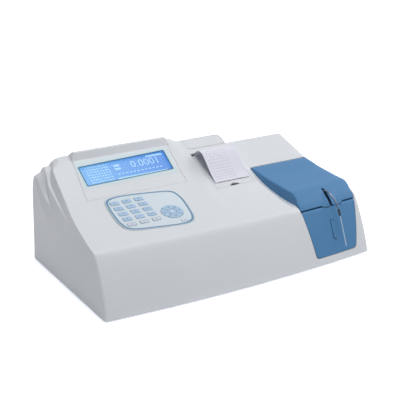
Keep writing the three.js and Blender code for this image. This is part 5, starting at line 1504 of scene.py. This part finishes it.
# Camera fitted to the photograph, in metres and degrees
view = Sizes(
    place=(-0.6285, -1.0095, 0.5253), pitch=69.689, yaw=-31.535, lens=82.295, sensor=36.0,
    near=0.05, far=50.0,
)
camera_data = bpy.data.cameras.new("camera")
camera_data.lens = view.lens
camera_data.sensor_width = view.sensor
camera_data.clip_start = view.near
camera_data.clip_end = view.far
camera_data.dof.use_dof = False
camera = linked("camera", camera_data)
camera.location = view.place
camera.rotation_euler = (math.radians(view.pitch), 0.0, math.radians(view.yaw))
bpy.context.scene.camera = camera


def seen_directly(tree):
    """1 for rays from the camera, or from a glossy or clear surface, and 0 for the others."""
    path = tree.nodes.new("ShaderNodeLightPath")
    seen = path.outputs["Is Camera Ray"]
    for kind in ("Is Glossy Ray", "Is Transmission Ray"):
        seen = made_by(tree, "Math", "Value", {0: seen, 1: path.outputs[kind]}, operation="MAXIMUM")
    return seen


# Pale floor that takes the object's shadow. It adds some light of its own where it is seen, so that
# it looks white outside the shadow.
FLOOR_HALF = 30.0
FLOOR_GLOW = 0.62
FLOOR_LIGHT = 0.08
floor_mesh = bpy.data.meshes.new("floor")
floor_corners = [(x, y, 0) for x, y in rectangle(-FLOOR_HALF, FLOOR_HALF, -FLOOR_HALF, FLOOR_HALF)]
floor_mesh.from_pydata(floor_corners, [], [(0, 1, 2, 3)])
floor = linked("floor", floor_mesh)
floor_material, tree, floor_shader = new_material("floor")
floor_mesh.materials.append(floor_material)
fill(tree, floor_shader, {
    "Base Color": (0.9, 0.9, 0.9, 1.0), "Roughness": 0.9, "Emission Color": (0.86, 0.89, 1.0, 1.0),
    "Emission Strength": made_by(tree, "MapRange", "Result", {
        "Value": seen_directly(tree), "To Min": FLOOR_LIGHT, "To Max": FLOOR_GLOW,
    }),
})

# World: white where it is seen, and soft light for the object that is weaker from its left
SKY_LEFT = 0.16
SKY_RIGHT = 0.42
world = bpy.data.worlds.new("world")
bpy.context.scene.world = world
world.use_nodes = True
tree = world.node_tree
light = tree.nodes["Background"]
across_sky = made_by(tree, "SeparateXYZ", "X", {"Vector": made_by(tree, "TexCoord", "Generated", {})})
fill(tree, light, {
    "Color": (0.93, 0.95, 1.0, 1.0),
    "Strength": made_by(tree, "MapRange", "Result", {
        "Value": across_sky, "From Min": -1.0, "From Max": 1.0, "To Min": SKY_LEFT, "To Max": SKY_RIGHT,
    }),
})
white = made_by(tree, "Background", "Background", {"Color": (1.0, 1.0, 1.0, 1.0), "Strength": 1.0})
fill(tree, tree.nodes["World Output"], {"Surface": made_by(tree, "MixShader", "Shader", {
    0: seen_directly(tree), 1: light.outputs["Background"], 2: white,
})})


# Lamps: name, place and size in metres, and power in watts
LIGHT_AIM = Vector((0.0, 0.0, 0.05))
LIGHTS = [
    ("key_light", (0.1, -0.3, 3.6), 1.6, 62.0),
    ("side_light", (2.6, -0.3, 2.4), 1.8, 32.0),
]
for name, location, size, power in LIGHTS:
    data = bpy.data.lights.new(name, "AREA")
    data.shape = "DISK"
    data.size = size
    data.energy = power
    lamp = linked(name, data)
    lamp.location = location
    aim = LIGHT_AIM - Vector(location)
    lamp.rotation_euler = aim.to_track_quat("-Z", "Y").to_euler()

bpy.context.scene.view_settings.view_transform = "Standard"
